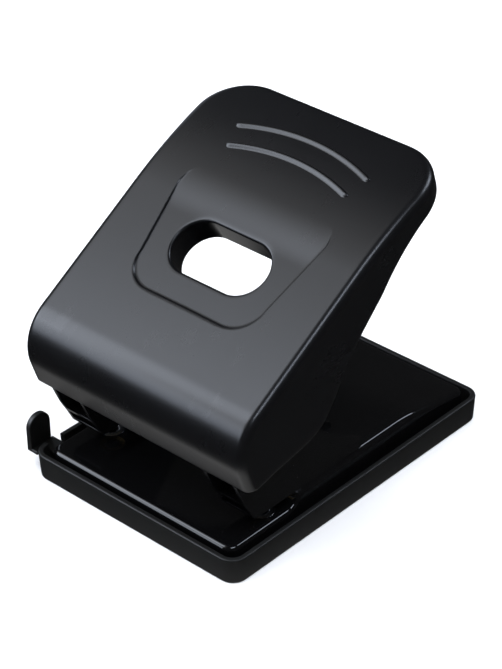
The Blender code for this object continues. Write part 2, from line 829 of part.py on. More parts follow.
def make_guide_holder(side_name, x, plastic):
    """A small U-shaped clip under the table that the rail slides through."""
    half = RAIL_WIDTH / 2 + GAP
    wall = HOLDER_WALL
    top = TABLE_TOP - BASE_WALL - GAP
    ledge = RAIL_Z - GAP
    outline = [
        (RAIL_Y - half - wall, top),
        (RAIL_Y - half - wall, ledge - wall),
        (RAIL_Y - half + 1.6, ledge - wall),
        (RAIL_Y - half + 1.6, ledge),
        (RAIL_Y - half, ledge),
        (RAIL_Y - half, RAIL_Z + RAIL_THICKNESS + GAP),
        (RAIL_Y + half, RAIL_Z + RAIL_THICKNESS + GAP),
        (RAIL_Y + half, ledge),
        (RAIL_Y + half - 1.6, ledge),
        (RAIL_Y + half - 1.6, ledge - wall),
        (RAIL_Y + half + wall, ledge - wall),
        (RAIL_Y + half + wall, top),
    ]
    return prism("guide_holder_" + side_name, outline, x - 5, x + 5, plastic)


def add_pivot(name, place):
    pivot = bpy.data.objects.new(name, None)
    pivot.location = Vector(place) * MM
    bpy.context.collection.objects.link(pivot)
    return pivot


def hang_on(pivot, items):
    bpy.context.view_layer.update()
    for item in items:
        item.parent = pivot
        item.matrix_parent_inverse = pivot.matrix_world.inverted()


def main():
    remove_everything()
    satin = make_material("handle_plastic", (0.035, 0.036, 0.038), 0.36, 0.0)
    soft = make_material("tray_plastic", (0.02, 0.02, 0.021), 0.7, 0.0)
    gloss = make_material("base_enamel", (0.008, 0.008, 0.009), 0.1, 0.0)
    enamel = make_material("bracket_enamel", (0.012, 0.012, 0.013), 0.3, 0.0)
    nylon = make_material("guide_plastic", (0.02, 0.02, 0.021), 0.5, 0.0)
    steel = make_material("pin_steel", (0.62, 0.62, 0.63), 0.22, 1.0)
    brass = make_material("bush_brass", (0.62, 0.47, 0.2), 0.3, 1.0)

    make_chip_tray(soft)
    make_base_plate(gloss)
    hinge_place = (0, HINGE_Y, HINGE_Z)
    on_handle = [make_handle_shell(satin, hinge_place)]
    for side_name, sign in (("left", -1), ("right", 1)):
        x = sign * PIN_X
        make_bracket(side_name, sign, enamel)
        make_die(side_name, x, steel)
        make_guide_bush(side_name, x, brass)
        make_spring(side_name, x, steel)
        for place, y in rivet_places():
            make_rivet(side_name, place, x, y, steel)
        make_axle_clip(side_name, sign, steel)
        make_pin(side_name, x, steel)
        make_pin_collar(side_name, x, steel)
        on_handle.append(make_press_foot(side_name, x, nylon, hinge_place))
        on_handle.append(make_pivot_bush(side_name, sign, nylon))
    make_axle(steel)
    make_paper_guide(nylon)
    for side_name, x in (("left", -HOLDER_X), ("right", HOLDER_X)):
        make_guide_holder(side_name, x, nylon)
    hang_on(add_pivot("handle_hinge", hinge_place), on_handle)


main()
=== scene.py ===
"""Finished surfaces of a two-hole desk punch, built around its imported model.

Shapes are worked out in millimetres and stored in metres.
"""

import json
import math

import bmesh
import bpy
import numpy as np
from bpy.props import FloatProperty, FloatVectorProperty, PointerProperty
from mathutils import Matrix, Vector

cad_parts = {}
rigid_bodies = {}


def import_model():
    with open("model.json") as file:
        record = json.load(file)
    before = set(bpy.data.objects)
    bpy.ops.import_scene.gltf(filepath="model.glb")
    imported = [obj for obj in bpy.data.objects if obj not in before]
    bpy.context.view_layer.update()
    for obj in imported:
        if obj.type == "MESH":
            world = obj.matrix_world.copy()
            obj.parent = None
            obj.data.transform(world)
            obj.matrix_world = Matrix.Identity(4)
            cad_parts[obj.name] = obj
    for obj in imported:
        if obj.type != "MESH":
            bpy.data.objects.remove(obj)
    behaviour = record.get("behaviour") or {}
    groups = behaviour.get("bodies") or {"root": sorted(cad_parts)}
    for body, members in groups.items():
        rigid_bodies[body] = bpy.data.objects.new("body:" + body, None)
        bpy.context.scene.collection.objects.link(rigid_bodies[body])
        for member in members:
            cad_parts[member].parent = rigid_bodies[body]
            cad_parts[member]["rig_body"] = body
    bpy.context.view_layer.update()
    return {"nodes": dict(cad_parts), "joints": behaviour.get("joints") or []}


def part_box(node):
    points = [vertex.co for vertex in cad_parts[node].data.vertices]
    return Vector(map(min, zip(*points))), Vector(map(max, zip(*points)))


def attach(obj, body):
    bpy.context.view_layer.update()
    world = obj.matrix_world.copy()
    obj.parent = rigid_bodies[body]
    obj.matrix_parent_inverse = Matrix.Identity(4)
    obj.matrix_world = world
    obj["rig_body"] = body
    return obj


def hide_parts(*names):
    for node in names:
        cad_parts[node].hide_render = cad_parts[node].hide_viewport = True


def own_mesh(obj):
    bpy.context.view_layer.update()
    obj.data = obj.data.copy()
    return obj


bl_info = {
    "name": "Desk punch",
    "version": (1, 0, 0),
    "blender": (4, 5, 0),
    "location": "View3D > Sidebar > Punch",
    "description": "Builds the pieces, finishes and stage of a two-hole desk punch",
    "category": "Object",
}

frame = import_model()
MM = 0.001
SHARP_DEG = 38
SIDES = ("left", "right")


def node_box(node):
    """Lowest and highest corner of a CAD node, in millimetres."""
    low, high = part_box(node)
    return np.array(low) / MM, np.array(high) / MM


def joint_named(name):
    return next(j for j in frame["joints"] if j["name"] == name)


# Sizes read from the frame.
TRAY_LOW, TRAY_HIGH = node_box("chip_tray")
BASE_LOW, BASE_HIGH = node_box("base_plate")
HANDLE_HIGH = node_box("handle_shell")[1]
GUIDE_LOW, GUIDE_HIGH = node_box("paper_guide")
HANDLE_HALF = HANDLE_HIGH[0]
DECK_TOP = BASE_HIGH[2]
HINGE = np.array(joint_named("handle_press")["pos_m"]) / MM

# Handle, seen from its side: a front face, a roll, a straight slope and a wide crown.
NOSE_RADIUS = 20.0
SLOPE_DEG = 31.5
NOSE_LEAN_DEG = 18.0
NOSE_FRONT = 10.05
NOSE_OFFSET = (8.88, 7.77)
CROWN_START = 99.5
CROWN_RADIUS = 210.0
HANDLE_LENGTH = 160.4
HANDLE_CORNER = 22.0
HANDLE_WALL = 2.2
EDGE_ROUND = 0.8
LIP_TURN = 7.0
LIP_REACH = 40.0
SKIRT_DEPTH_FRONT = 19.6
SKIRT_DEPTH_REAR = 9.0
# The skirt's lower edge: distance along the top, then how far behind the hinge and how high.
SKIRT_EDGE = (
    (0.0, -3.6, -7.4),
    (22.0, 7.6, -4.8),
    (40.6, 28.3, -0.2),
    (56.6, 37.0, 7.0),
    (80.6, 49.7, 25.8),
    (105.6, 66.9, 43.6),
)
WINDOW_CENTRE = 84.1
WINDOW_LENGTH = 45.2
WINDOW_WIDTH = 23.2
WINDOW_ROUND = 1.1
COLLAR_DEPTH = 13.0
COLLAR_WALL = 1.8
COLLAR_ROUND = 0.5
RING_STEP = 1.2
SKIRT_RINGS = 14
BEVEL_SHARE = 0.002

# Recessed panel round the window, as distances from the lip and half widths.
PANEL_FRONT = 60.0
PANEL_REAR = 117.6
PANEL_HALF_FRONT = 32.4
PANEL_TAPER = 0.09
PANEL_CORNER = 13.0
PANEL_STEP = 0.8
PANEL_FADE = (93.6, 113.6)

# Two raised ribs: apex distance, half length and radius of the arc.
RIBS = (("upper", 143.3, 33.7, 92.0), ("lower", 132.5, 30.7, 90.0))
RIB_FRONT = 2.25
RIB_REAR = 0.8

# Base and tray.
BASE_WALL = 1.8
BASE_CORNER = 5.5
BASE_FILLET = 2.2
TABLE_TOP = 12.4
COVE_RADIUS = 6.8
STOP_Y = -30.9
RAMP_START_Y = 32.0
RAMP_END_DROP = 6.6
TRAY_WALL = 2.3
TRAY_FLOOR = 1.8
TRAY_CORNER = 7.0
TRAY_DRAFT = 0.6
RAIL_THICKNESS = 1.5
HOLDER_WALL = 1.2
TAB_THICKNESS = 2.4
TAB_WIDTH = 11.0
GAP = 0.3

# Pins, bushes, springs and rivets.
PIN_RADIUS = 2.75
PIN_HEAD = 2.8
PIN_ROUND = 0.9
PIN_HOLLOW = 0.9
BORE_RADIUS = 3.05
BUSH_FLANGE = 1.2
RIVET_RADIUS = 2.0
RIVET_HEAD = 1.3
RIVET_CLENCH = 0.8
SPRING_TURNS = 4.5
SPRING_WIRE = 0.5


def length_setting(name, description, millimetres):
    default = millimetres * MM
    return FloatProperty(name=name, description=description, default=default, unit="LENGTH")


def colour_setting(name, description, default):
    return FloatVectorProperty(
        name=name, description=description, subtype="COLOR", size=3, default=default
    )


class SizeSettings(bpy.types.PropertyGroup):
    """Sizes that a user would change."""

    bevel: length_setting("Handle edge", "Radius of the handle's long edges", 3.5)
    panel_depth: length_setting("Panel depth", "How far the panel is sunk", 0.9)
    rib_height: length_setting("Rib height", "How far the two ribs stand up", 0.75)


class FinishSettings(bpy.types.PropertyGroup):
    """Colours that a user would change."""

    handle: colour_setting("Handle", "Colour of the handle's plastic", (0.003, 0.003, 0.0035))
    tray: colour_setting("Tray", "Colour of the tray's soft plastic", (0.0045, 0.0045, 0.0042))
    enamel: colour_setting("Enamel", "Colour of the base's gloss enamel", (0.002, 0.002, 0.0022))
    steel: colour_setting("Steel", "Colour of the bright steel", (0.62, 0.62, 0.63))
    brass: colour_setting("Brass", "Colour of the guide bushes", (0.62, 0.47, 0.2))
    floor: colour_setting("Floor", "Colour of the floor", (0.88, 0.88, 0.88))


# Meshes.


def grid_faces(rows, columns, close_rows=False, close_columns=False):
    """Four-sided faces of a grid of points that are numbered row by row."""
    r = np.arange(rows if close_rows else rows - 1)[:, None]
    c = np.arange(columns if close_columns else columns - 1)[None, :]
    near = r * columns
    far = (r + 1) % rows * columns
    after = (c + 1) % columns
    corners = np.broadcast_arrays(near + c, near + after, far + after, far + c)
    return np.stack(corners, -1).reshape(-1, 4)


def tube_faces(rings, count):
    """Faces of a row of closed rings of count points each, with a cap at either end."""
    faces = [list(f) for f in grid_faces(rings, count, close_columns=True)]
    return faces + [list(range(count)), list(range((rings - 1) * count, rings * count))]


def shade(mesh, sharp_deg=SHARP_DEG):
    mesh.shade_smooth()
    mesh.set_sharp_from_angle(angle=math.radians(sharp_deg))


def tidy_mesh(mesh, merge, sharp_deg):
    """Welds points that coincide, turns faces outwards and shades them smooth between sharp edges."""
    shape = bmesh.new()
    shape.from_mesh(mesh)
    bmesh.ops.remove_doubles(shape, verts=shape.verts, dist=merge)
    bmesh.ops.dissolve_degenerate(shape, edges=shape.edges, dist=merge * 0.1)
    bmesh.ops.recalc_face_normals(shape, faces=shape.faces)
    shape.to_mesh(mesh)
    shape.free()
    shade(mesh, sharp_deg)


def link_piece(name, mesh):
    piece = bpy.data.objects.new(name, mesh)
    bpy.context.scene.collection.objects.link(piece)
    return piece


def add_piece(name, points, faces, material, merge=2e-6, sharp_deg=SHARP_DEG):
    """Makes an object at the origin from points in millimetres."""
    mesh = bpy.data.meshes.new(name)
    mesh.from_pydata(np.asarray(points, float).reshape(-1, 3) * MM, [], [list(f) for f in faces])
    tidy_mesh(mesh, merge, sharp_deg)
    mesh.materials.append(material)
    return link_piece(name, mesh)


def place_piece(piece, node, replace=True):
    """Lets a piece ride where its CAD node rides, and stand for it."""
    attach(piece, frame["nodes"][node]["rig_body"])
    if replace:
        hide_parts(node)
    return piece


def soften(piece, width, segments=3, angle_deg=40):
    """Rounds a piece's sharp edges by a width in millimetres."""
    bevel = piece.modifiers.new("edge", "BEVEL")
    bevel.width = width * MM
    bevel.segments = segments
    bevel.limit_method = "ANGLE"
    bevel.angle_limit = math.radians(angle_deg)
    bevel.use_clamp_overlap = True
    bevel.harden_normals = False
    return piece


def carve(piece, cutters):
    """Applies a piece's modifiers and takes cutters out of it."""
    for cutter in cutters:
        modifier = piece.modifiers.new("cut", "BOOLEAN")
        modifier.operation = "DIFFERENCE"
        modifier.solver = "EXACT"
        modifier.object = cutter
    bpy.context.view_layer.update()
    shape = piece.evaluated_get(bpy.context.evaluated_depsgraph_get())
    mesh = bpy.data.meshes.new_from_object(shape)
    piece.modifiers.clear()
    materials = list(piece.data.materials)
    piece.data = mesh
    mesh.materials.clear()
    for material in materials:
        mesh.materials.append(material)
    tidy_mesh(mesh, 1e-6, SHARP_DEG)
    for cutter in cutters:
        bpy.data.objects.remove(cutter, do_unlink=True)
    return piece


def lathe(name, profile, centre, material, axis="Z", sides=64):
    """Turns a closed profile of (radius, height) pairs round an axis through centre.

    A point is (radius * cos, radius * sin, height) of its turn; points at radius 0 weld to a pole.
    """
    turn = np.linspace(0, 2 * np.pi, sides, endpoint=False)
    radius, height = np.array(profile, float).T
    across = radius[:, None] * np.cos(turn)
    along = radius[:, None] * np.sin(turn)
    up = np.repeat(height[:, None], sides, 1)
    order = (up, across, along) if axis == "X" else (across, along, up)
    points = np.stack(order, -1) + np.asarray(centre, float)
    faces = grid_faces(len(profile), sides, close_rows=True, close_columns=True)
    return add_piece(name, points, faces, material)


def ring_profile(inner, outer, low, high):
    """The section of a plain ring, or of a rod where inner is 0."""
    return [(inner, low), (outer, low), (outer, high), (inner, high)]


def upright_axis(low, high):
    """A point on the upright axis through the middle of a box."""
    return ((low[0] + high[0]) / 2, (low[1] + high[1]) / 2, 0)


def slab(name, outline, low, high, material, axis="X"):
    """Carries a closed outline straight from low to high along an axis."""
    outline = np.asarray(outline, float)
    count = len(outline)
    ends = np.repeat([low, high], count)
    first, second = np.tile(outline, (2, 1)).T
    order = {"X": (ends, first, second), "Y": (first, ends, second), "Z": (first, second, ends)}[axis]
    return add_piece(name, np.stack(order, -1), tube_faces(2, count), material)


def block(name, low, high, material):
    """A straight box between two corners."""
    outline = [(low[0], low[1]), (high[0], low[1]), (high[0], high[1]), (low[0], high[1])]
    return slab(name, outline, low[2], high[2], material, axis="Z")


def joined(name, parts):
    """Puts several closed bodies into one piece."""
    shape = bmesh.new()
    for part in parts:
        shape.from_mesh(part.data)
    mesh = bpy.data.meshes.new(name)
    shape.to_mesh(mesh)
    shape.free()
    for material in parts[0].data.materials:
        mesh.materials.append(material)
    shade(mesh)
    for part in parts:
        bpy.data.objects.remove(part, do_unlink=True)
    return link_piece(name, mesh)


def rounded_copy(name, node, finish, width):
    """A welded copy of a CAD node's loose triangles with rounded edges, standing for it."""
    mesh = frame["nodes"][node].data.copy()
    mesh.name = name
    shape = bmesh.new()
    shape.from_mesh(mesh)
    bmesh.ops.remove_doubles(shape, verts=shape.verts, dist=1e-6)
    bmesh.ops.dissolve_limit(shape, angle_limit=math.radians(1), verts=shape.verts, edges=shape.edges)
    shape.to_mesh(mesh)
    shape.free()
    mesh.materials.clear()
    mesh.materials.append(finishes()[finish])
    shade(mesh)
    return place_piece(soften(link_piece(name, mesh), width), node)


def arc(centre, radius, start_deg, end_deg, count):
    """Points of a circle's arc: centre + radius * (cos, sin) of evenly spaced turns."""
    turn = np.radians(np.linspace(start_deg, end_deg, count + 1))
    return np.stack([centre[0] + radius * np.cos(turn), centre[1] + radius * np.sin(turn)], -1)


def smooth_step(t):
    """3t^2 - 2t^3, held at 0 and 1 outside."""
    t = np.clip(t, 0, 1)
    return t * t * (3 - 2 * t)


def unit(vectors):
    return vectors / np.maximum(np.linalg.norm(vectors, axis=-1, keepdims=True), 1e-9)


# Shader graphs.


class Value:
    """A shader socket that takes part in sums: an expression on it adds Math nodes."""

    def __init__(self, graph, socket):
        self.graph = graph
        self.socket = socket

    def math(self, operation, first, second):
        sockets = {0: first, 1: second}
        return self.graph.node("ShaderNodeMath", {"operation": operation}, sockets)

    def __add__(self, other):
        return self.math("ADD", self, other)

    def __radd__(self, other):
        return self.math("ADD", other, self)

    def __sub__(self, other):
        return self.math("SUBTRACT", self, other)

    def __rsub__(self, other):
        return self.math("SUBTRACT", other, self)

    def __mul__(self, other):
        return self.math("MULTIPLY", self, other)

    def __rmul__(self, other):
        return self.math("MULTIPLY", other, self)


class Graph:
    """The node tree of one material, or of the world."""

    def __init__(self, name, owners=bpy.data.materials, shader="Principled BSDF"):
        self.owner = owners.new(name)
        self.owner.use_nodes = True
        self.tree = self.owner.node_tree
        self.shader = self.tree.nodes[shader]

    def node(self, kind, settings=None, sockets=None, output=0):
        """Adds a node, sets its settings, then its sockets' values or links."""
        made = self.tree.nodes.new(kind)
        for key, value in (settings or {}).items():
            if key == "stops":
                for element, (position, level) in zip(made.color_ramp.elements, value):
                    element.position = position
                    element.color = (level, level, level, 1)
            else:
                setattr(made, key, value)
        for key, value in (sockets or {}).items():
            self.feed(made.inputs[key], value)
        return Value(self, made.outputs[output])

    def feed(self, socket, value):
        if isinstance(value, Value):
            self.tree.links.new(value.socket, socket)
        else:
            socket.default_value = value

    def place(self, scale=(1, 1, 1), rotation=(0, 0, 0), centre=(0, 0, 0)):
        """Object coordinates, moved to a centre, turned and scaled."""
        where = self.node("ShaderNodeTexCoord", output="Object")
        sockets = {"Vector": where, "Scale": scale, "Rotation": rotation, "Location": centre}
        return self.node("ShaderNodeMapping", {"vector_type": "POINT"}, sockets)

    def noise(self, scale, detail=2.0, roughness=0.5, vector=None):
        vector = vector or self.place()
        sockets = {"Vector": vector, "Scale": scale, "Detail": detail, "Roughness": roughness}
        return self.node("ShaderNodeTexNoise", {}, sockets)

    def spots(self, scale, vector=None):
        vector = vector or self.place()
        return self.node("ShaderNodeTexVoronoi", {}, {"Vector": vector, "Scale": scale})

    def ramp(self, value, low, high, from_level=0.0, to_level=1.0):
        """Maps a value between low and high smoothly to two levels."""
        sockets = {"Value": value, 1: low, 2: high, 3: from_level, 4: to_level}
        return self.node("ShaderNodeMapRange", {"interpolation_type": "SMOOTHSTEP"}, sockets)

    def blend(self, share, first, second):
        """Mixes two colours by a share."""
        settings = {"data_type": "RGBA", "clamp_factor": True}
        sockets = {0: share, 6: first, 7: second}
        return self.node("ShaderNodeMix", settings, sockets, output=2)

    def bump(self, height, distance, strength=1.0):
        sockets = {"Height": height, "Distance": distance, "Strength": strength}
        return self.node("ShaderNodeBump", {}, sockets)

    def finish(self, **sockets):
        for name, value in sockets.items():
            self.feed(self.shader.inputs[name.replace("_", " ")], value)
        return self.owner


def rgba(colour, gain=1.0):
    return (colour[0] * gain, colour[1] * gain, colour[2] * gain, 1.0)


def plastic(name, colour, roughness, grain, depth, scuff=0.04, specular=0.5):
    """Moulded plastic: a fine grain, faint cloudiness and a few light rubs."""
    graph = Graph(name)
    cloud = graph.noise(35, 3)
    grains = graph.noise(1000 / grain, 2, 0.6)
    rub = graph.ramp(graph.noise(90, 4, 0.7, graph.place((1, 0.25, 0.6), (0.4, 0.2, 0.7))), 0.58, 0.75)
    tone = graph.blend(cloud * 0.5 + rub * 0.4, rgba(colour, 0.8), rgba(colour, 1.35))
    rough = roughness - 0.02 + cloud * 0.04 + grains * 0.03 - rub * scuff
    normal = graph.bump(grains, depth * MM)
    graph.finish(Base_Color=tone, Roughness=rough, Normal=normal, Specular_IOR_Level=specular)
    return graph.owner


def enamel(name, colour, roughness, peel, coat=0.0):
    """Sprayed enamel: a slow orange-peel wave, dust nibs and slightly duller patches."""
    graph = Graph(name)
    cloud = graph.noise(40, 3)
    wave = graph.noise(330, 2)
    nibs = graph.ramp(graph.spots(260), 0.02, 0.07, 1.0, 0.0)
    tone = graph.blend(cloud, rgba(colour, 0.8), rgba(colour, 1.4))
    rough = roughness + cloud * 0.03 + nibs * 0.1
    normal = graph.bump(wave + nibs * 0.6, peel * MM)
    graph.finish(Base_Color=tone, Roughness=rough, Normal=normal, Coat_Weight=coat, Coat_Roughness=0.03)
    return graph.owner


def metal(name, colour, roughness, stretch, lines, depth):
    """Worked metal: fine lines along one direction, slight stains and rubbed spots."""
    graph = Graph(name)
    grain = graph.noise(lines, 3, 0.7, graph.place(stretch))
    stain = graph.noise(150, 4, 0.65)
    tone = graph.blend(stain * 0.8 + grain * 0.2, rgba(colour, 0.72), rgba(colour, 1.1))
    rough = roughness + grain * 0.12 + stain * 0.1 - 0.08
    normal = graph.bump(grain, depth * MM)
    graph.finish(Base_Color=tone, Roughness=rough, Normal=normal, Metallic=1.0)
    return graph.owner


def finishes():
    """Every material of the punch, made once and found again by name."""
    if not bpy.data.materials.get("punch_handle"):
        colours = bpy.context.scene.punch_finish
        plastic("punch_handle", colours.handle, 0.27, 0.35, 0.003)
        plastic("punch_tray", colours.tray, 0.5, 0.45, 0.02)
        enamel("punch_enamel", colours.enamel, 0.06, 0.006)
        enamel("punch_bracket", colours.enamel, 0.2, 0.01)
        plastic("punch_nylon", colours.tray, 0.42, 0.4, 0.012)
        metal("punch_steel", colours.steel, 0.2, (1, 1, 0.04), 2500, 0.002)
        metal("punch_spring", [c * 0.6 for c in colours.steel], 0.3, (1, 1, 1), 900, 0.003)
        metal("punch_rivet", [c * 0.85 for c in colours.steel], 0.34, (1, 1, 1), 700, 0.006)
        metal("punch_brass", colours.brass, 0.26, (0.04, 1, 1), 2200, 0.002)
    return {
        name: bpy.data.materials["punch_" + name]
        for name in (
            "handle", "tray", "enamel", "bracket", "nylon", "steel", "spring", "rivet", "brass"
        )
    }


# Handle.


def centre_line(s):
    """Place and outward normal, as (y, z), of the handle's centre line at distance s from its lip.

    The normal turns evenly along the roll and again along the crown. The place is the nose's
    centre plus the roll's radius along the normal, plus the lengths run on the front face and the
    slope, plus the crown radius times the change of normal along the crown.
    """
    s = np.asarray(s, float)
    start = math.radians(180 + NOSE_LEAN_DEG)
    end = math.radians(90 + SLOPE_DEG)
    roll = NOSE_RADIUS * (start - end)
    slope = CROWN_START - NOSE_FRONT - roll
    on_front = np.minimum(s - NOSE_FRONT, 0)[..., None]
    on_roll = np.clip(s - NOSE_FRONT, 0, roll)
    on_slope = np.clip(s - NOSE_FRONT - roll, 0, slope)[..., None]
    on_crown = np.maximum(s - CROWN_START, 0)

    def outward(turn):
        return np.stack([np.cos(turn), np.sin(turn)], -1)

    def forward(turn):
        return np.array([math.sin(turn), -math.cos(turn)])

    place = HINGE[1:] + np.array(NOSE_OFFSET) + NOSE_RADIUS * outward(start - on_roll / NOSE_RADIUS)
    place = place + on_front * forward(start) + on_slope * forward(end)
    crown_turn = end - on_crown / CROWN_RADIUS
    place = place + CROWN_RADIUS * (outward(crown_turn) - outward(np.full_like(s, end)))
    return place, outward(start - on_roll / NOSE_RADIUS - on_crown / CROWN_RADIUS)


def shell_point(s, x, depth):
    """The point at distance s and width x, sunk by depth below the handle's top."""
    place, normal = centre_line(s)
    sunk = place - normal * np.asarray(depth, float)[..., None]
    return np.stack([np.broadcast_to(x, sunk.shape[:-1]), sunk[..., 0], sunk[..., 1]], -1)


def smooth_rows(distance, column):
    """A column of the skirt's edge table along a smooth curve through its rows.

    Between two rows it is a cubic whose slope at a row is that of the line through the row's two
    neighbours, and at an end row that of its own line.
    """
    table = np.array(SKIRT_EDGE)
    at, value = table[:, 0], table[:, column]
    rise = np.diff(value) / np.diff(at)
    slope = np.concatenate([rise[:1], (value[2:] - value[:-2]) / (at[2:] - at[:-2]), rise[-1:]])
    k = np.clip(np.searchsorted(at, distance) - 1, 0, len(at) - 2)
    width = at[k + 1] - at[k]
    t = (distance - at[k]) / width
    near = value[k] * (1 + 2 * t) + slope[k] * width * t
    far = value[k + 1] * (3 - 2 * t) - slope[k + 1] * width * (1 - t)
    return near * (1 - t) ** 2 + far * t**2


def skirt_edge(s):
    """The skirt's lower edge as (y, z): the smooth table in front, then a depth that eases off."""
    last = SKIRT_EDGE[-1][0]
    table = HINGE[1:] + np.stack([smooth_rows(np.minimum(s, last), c) for c in (1, 2)], -1)
    share = np.clip((s - last) / (HANDLE_LENGTH - last), 0, 1)
    depth = SKIRT_DEPTH_FRONT + (SKIRT_DEPTH_REAR - SKIRT_DEPTH_FRONT) * (2 - share) * share
    place, normal = centre_line(s)
    return np.where((s < last)[:, None], table, place - normal * depth[:, None])


def window_edge(direction, grow):
    """Where rays from the window's centre meet its round-ended outline, grown outwards."""
    radius = WINDOW_WIDTH / 2 + grow
    straight = (WINDOW_LENGTH - WINDOW_WIDTH) / 2
    ds, dx = direction.T
    reach = radius / np.maximum(np.abs(ds), 1e-9)
    centre = np.copysign(straight, dx)
    along = dx * centre
    round_reach = along + np.sqrt(np.maximum(along**2 - centre**2 + radius**2, 0))
    reach = np.where(np.abs(dx) * reach > straight, round_reach, reach)
    return np.array([WINDOW_CENTRE, 0]) + direction * reach[:, None]


def panel_edge(direction):
    """Where rays from the window's centre meet the panel's outline, a rounded box that widens."""
    half_front = PANEL_HALF_FRONT
    half_rear = half_front + PANEL_TAPER * (PANEL_REAR - PANEL_FRONT)
    rear = arc((PANEL_REAR - PANEL_CORNER, half_rear - PANEL_CORNER), PANEL_CORNER, 0, 90, 24)
    front = arc((PANEL_FRONT + PANEL_CORNER, half_front - PANEL_CORNER), PANEL_CORNER, 90, 180, 24)
    right = np.concatenate([[(PANEL_REAR, 0)], rear, front, [(PANEL_FRONT, 0)]])
    left = right[-2:0:-1] * [1, -1]
    loop = np.concatenate([right, left, right[:1]])
    steps = np.linspace(0, len(loop) - 1, 4000)
    dense = np.stack([np.interp(steps, np.arange(len(loop)), loop[:, i]) for i in (0, 1)], -1)
    turn = np.unwrap(np.arctan2(dense[:, 1], dense[:, 0] - WINDOW_CENTRE))
    wanted = np.arctan2(direction[:, 1], direction[:, 0]) % (2 * np.pi)
    return np.stack([np.interp(wanted, turn, dense[:, i]) for i in (0, 1)], -1)


def handle_rays(bevel, step=1.3):
    """Stations round the handle's edge: kind, distance, width and plan normal of each.

    A lip station holds its width unrolled over the bevels; the others hold the outline's point.
    """
    half = HANDLE_HALF
    unrolled = half - bevel + bevel * math.pi / 2
    count = int(2 * unrolled / step)
    lip = np.linspace(-unrolled, unrolled, count + 2)[1:-1]
    straight = np.linspace(0, 1, int((HANDLE_LENGTH - HANDLE_CORNER) / step))
    straight = EDGE_ROUND + (HANDLE_LENGTH - HANDLE_CORNER - EDGE_ROUND) * straight
    turn = np.radians(np.linspace(0, 90, 28))[1:]
    across = np.linspace(1, -1, int(2 * (half - HANDLE_CORNER) / step))[1:-1] * (half - HANDLE_CORNER)
    corner_s = HANDLE_LENGTH - HANDLE_CORNER + HANDLE_CORNER * np.sin(turn)
    corner_x = half - HANDLE_CORNER + HANDLE_CORNER * np.cos(turn)
    zero = np.zeros_like
    rows = [np.stack([zero(lip) + 1, zero(lip), lip, zero(lip), zero(lip)], -1)]
    right = [
        np.stack([zero(straight), straight, zero(straight) + half, zero(straight), zero(straight) + 1], -1),
        np.stack([zero(turn), corner_s, corner_x, np.sin(turn), np.cos(turn)], -1),
    ]
    end = np.stack(
        [zero(across), zero(across) + HANDLE_LENGTH, across, zero(across) + 1, zero(across)], -1
    )
    left = [np.flip(row * [1, 1, -1, 1, -1], 0) for row in reversed(right)]
    return np.concatenate(rows + right + [end] + left)


def handle_zone(rays, bevel, skirt_rings, offset):
    """Rings over the bevel and down the skirt, on a surface moved inwards by offset.

    Across the bevel a station's point turns by phi: its plan point moves in by
    bevel - (bevel - offset) sin phi and sinks by bevel - (bevel - offset) cos phi. Below the
    bevel it runs straight to the skirt's lower edge. Stations on the lip run forwards instead,
    and those near it lean towards the corner.
    """
    lip = rays[:, 0] > 0.5
    s, width, normal = rays[:, 1], rays[:, 2], rays[:, 3:5]
    flat = HANDLE_HALF - bevel
    unrolled = flat + bevel * math.pi / 2
    rings = []
    for g in np.linspace(0, 1, 12):
        phi = np.full(len(rays), g * math.pi / 2)
        lean = (LIP_TURN - EDGE_ROUND) * (1 - g) * np.clip(1 - (s - EDGE_ROUND) / LIP_REACH, 0, 1)
        lean = np.where(normal[:, 0] > 0, 0, lean)
        lip_width = np.abs(width) * (flat + (unrolled - flat) * g) / unrolled
        phi = np.where(lip, np.clip((lip_width - flat) / bevel, 0, None), phi)
        inset = bevel - (bevel - offset) * np.sin(phi)
        sink = bevel - (bevel - offset) * np.cos(phi)
        plan_s = s + lean - normal[:, 0] * inset
        plan_x = width - normal[:, 1] * inset
        on_flat = lip & (lip_width <= flat)
        lip_x = np.sign(width) * np.where(on_flat, lip_width, HANDLE_HALF - inset)
        lip_s = LIP_TURN + (EDGE_ROUND - LIP_TURN) * g
        plan_s = np.where(lip, lip_s, plan_s)
        plan_x = np.where(lip, lip_x, plan_x)
        sink = np.where(on_flat, offset, sink)
        rings.append(shell_point(plan_s, plan_x, sink))
    end = rings[-1]
    low = end.copy()
    edge = skirt_edge(np.where(lip, EDGE_ROUND, s - normal[:, 0] * offset))
    low[:, 1:] = np.where(lip[:, None], end[:, 1:], edge)
    raise_by = np.minimum(EDGE_ROUND / np.maximum(np.linalg.norm(end - low, axis=1), 1e-6), 1)
    low = low + (end - low) * raise_by[:, None]
    for share in np.linspace(0, 1, skirt_rings + 1)[1:]:
        rings.append(end + (low - end) * share)
    return rings


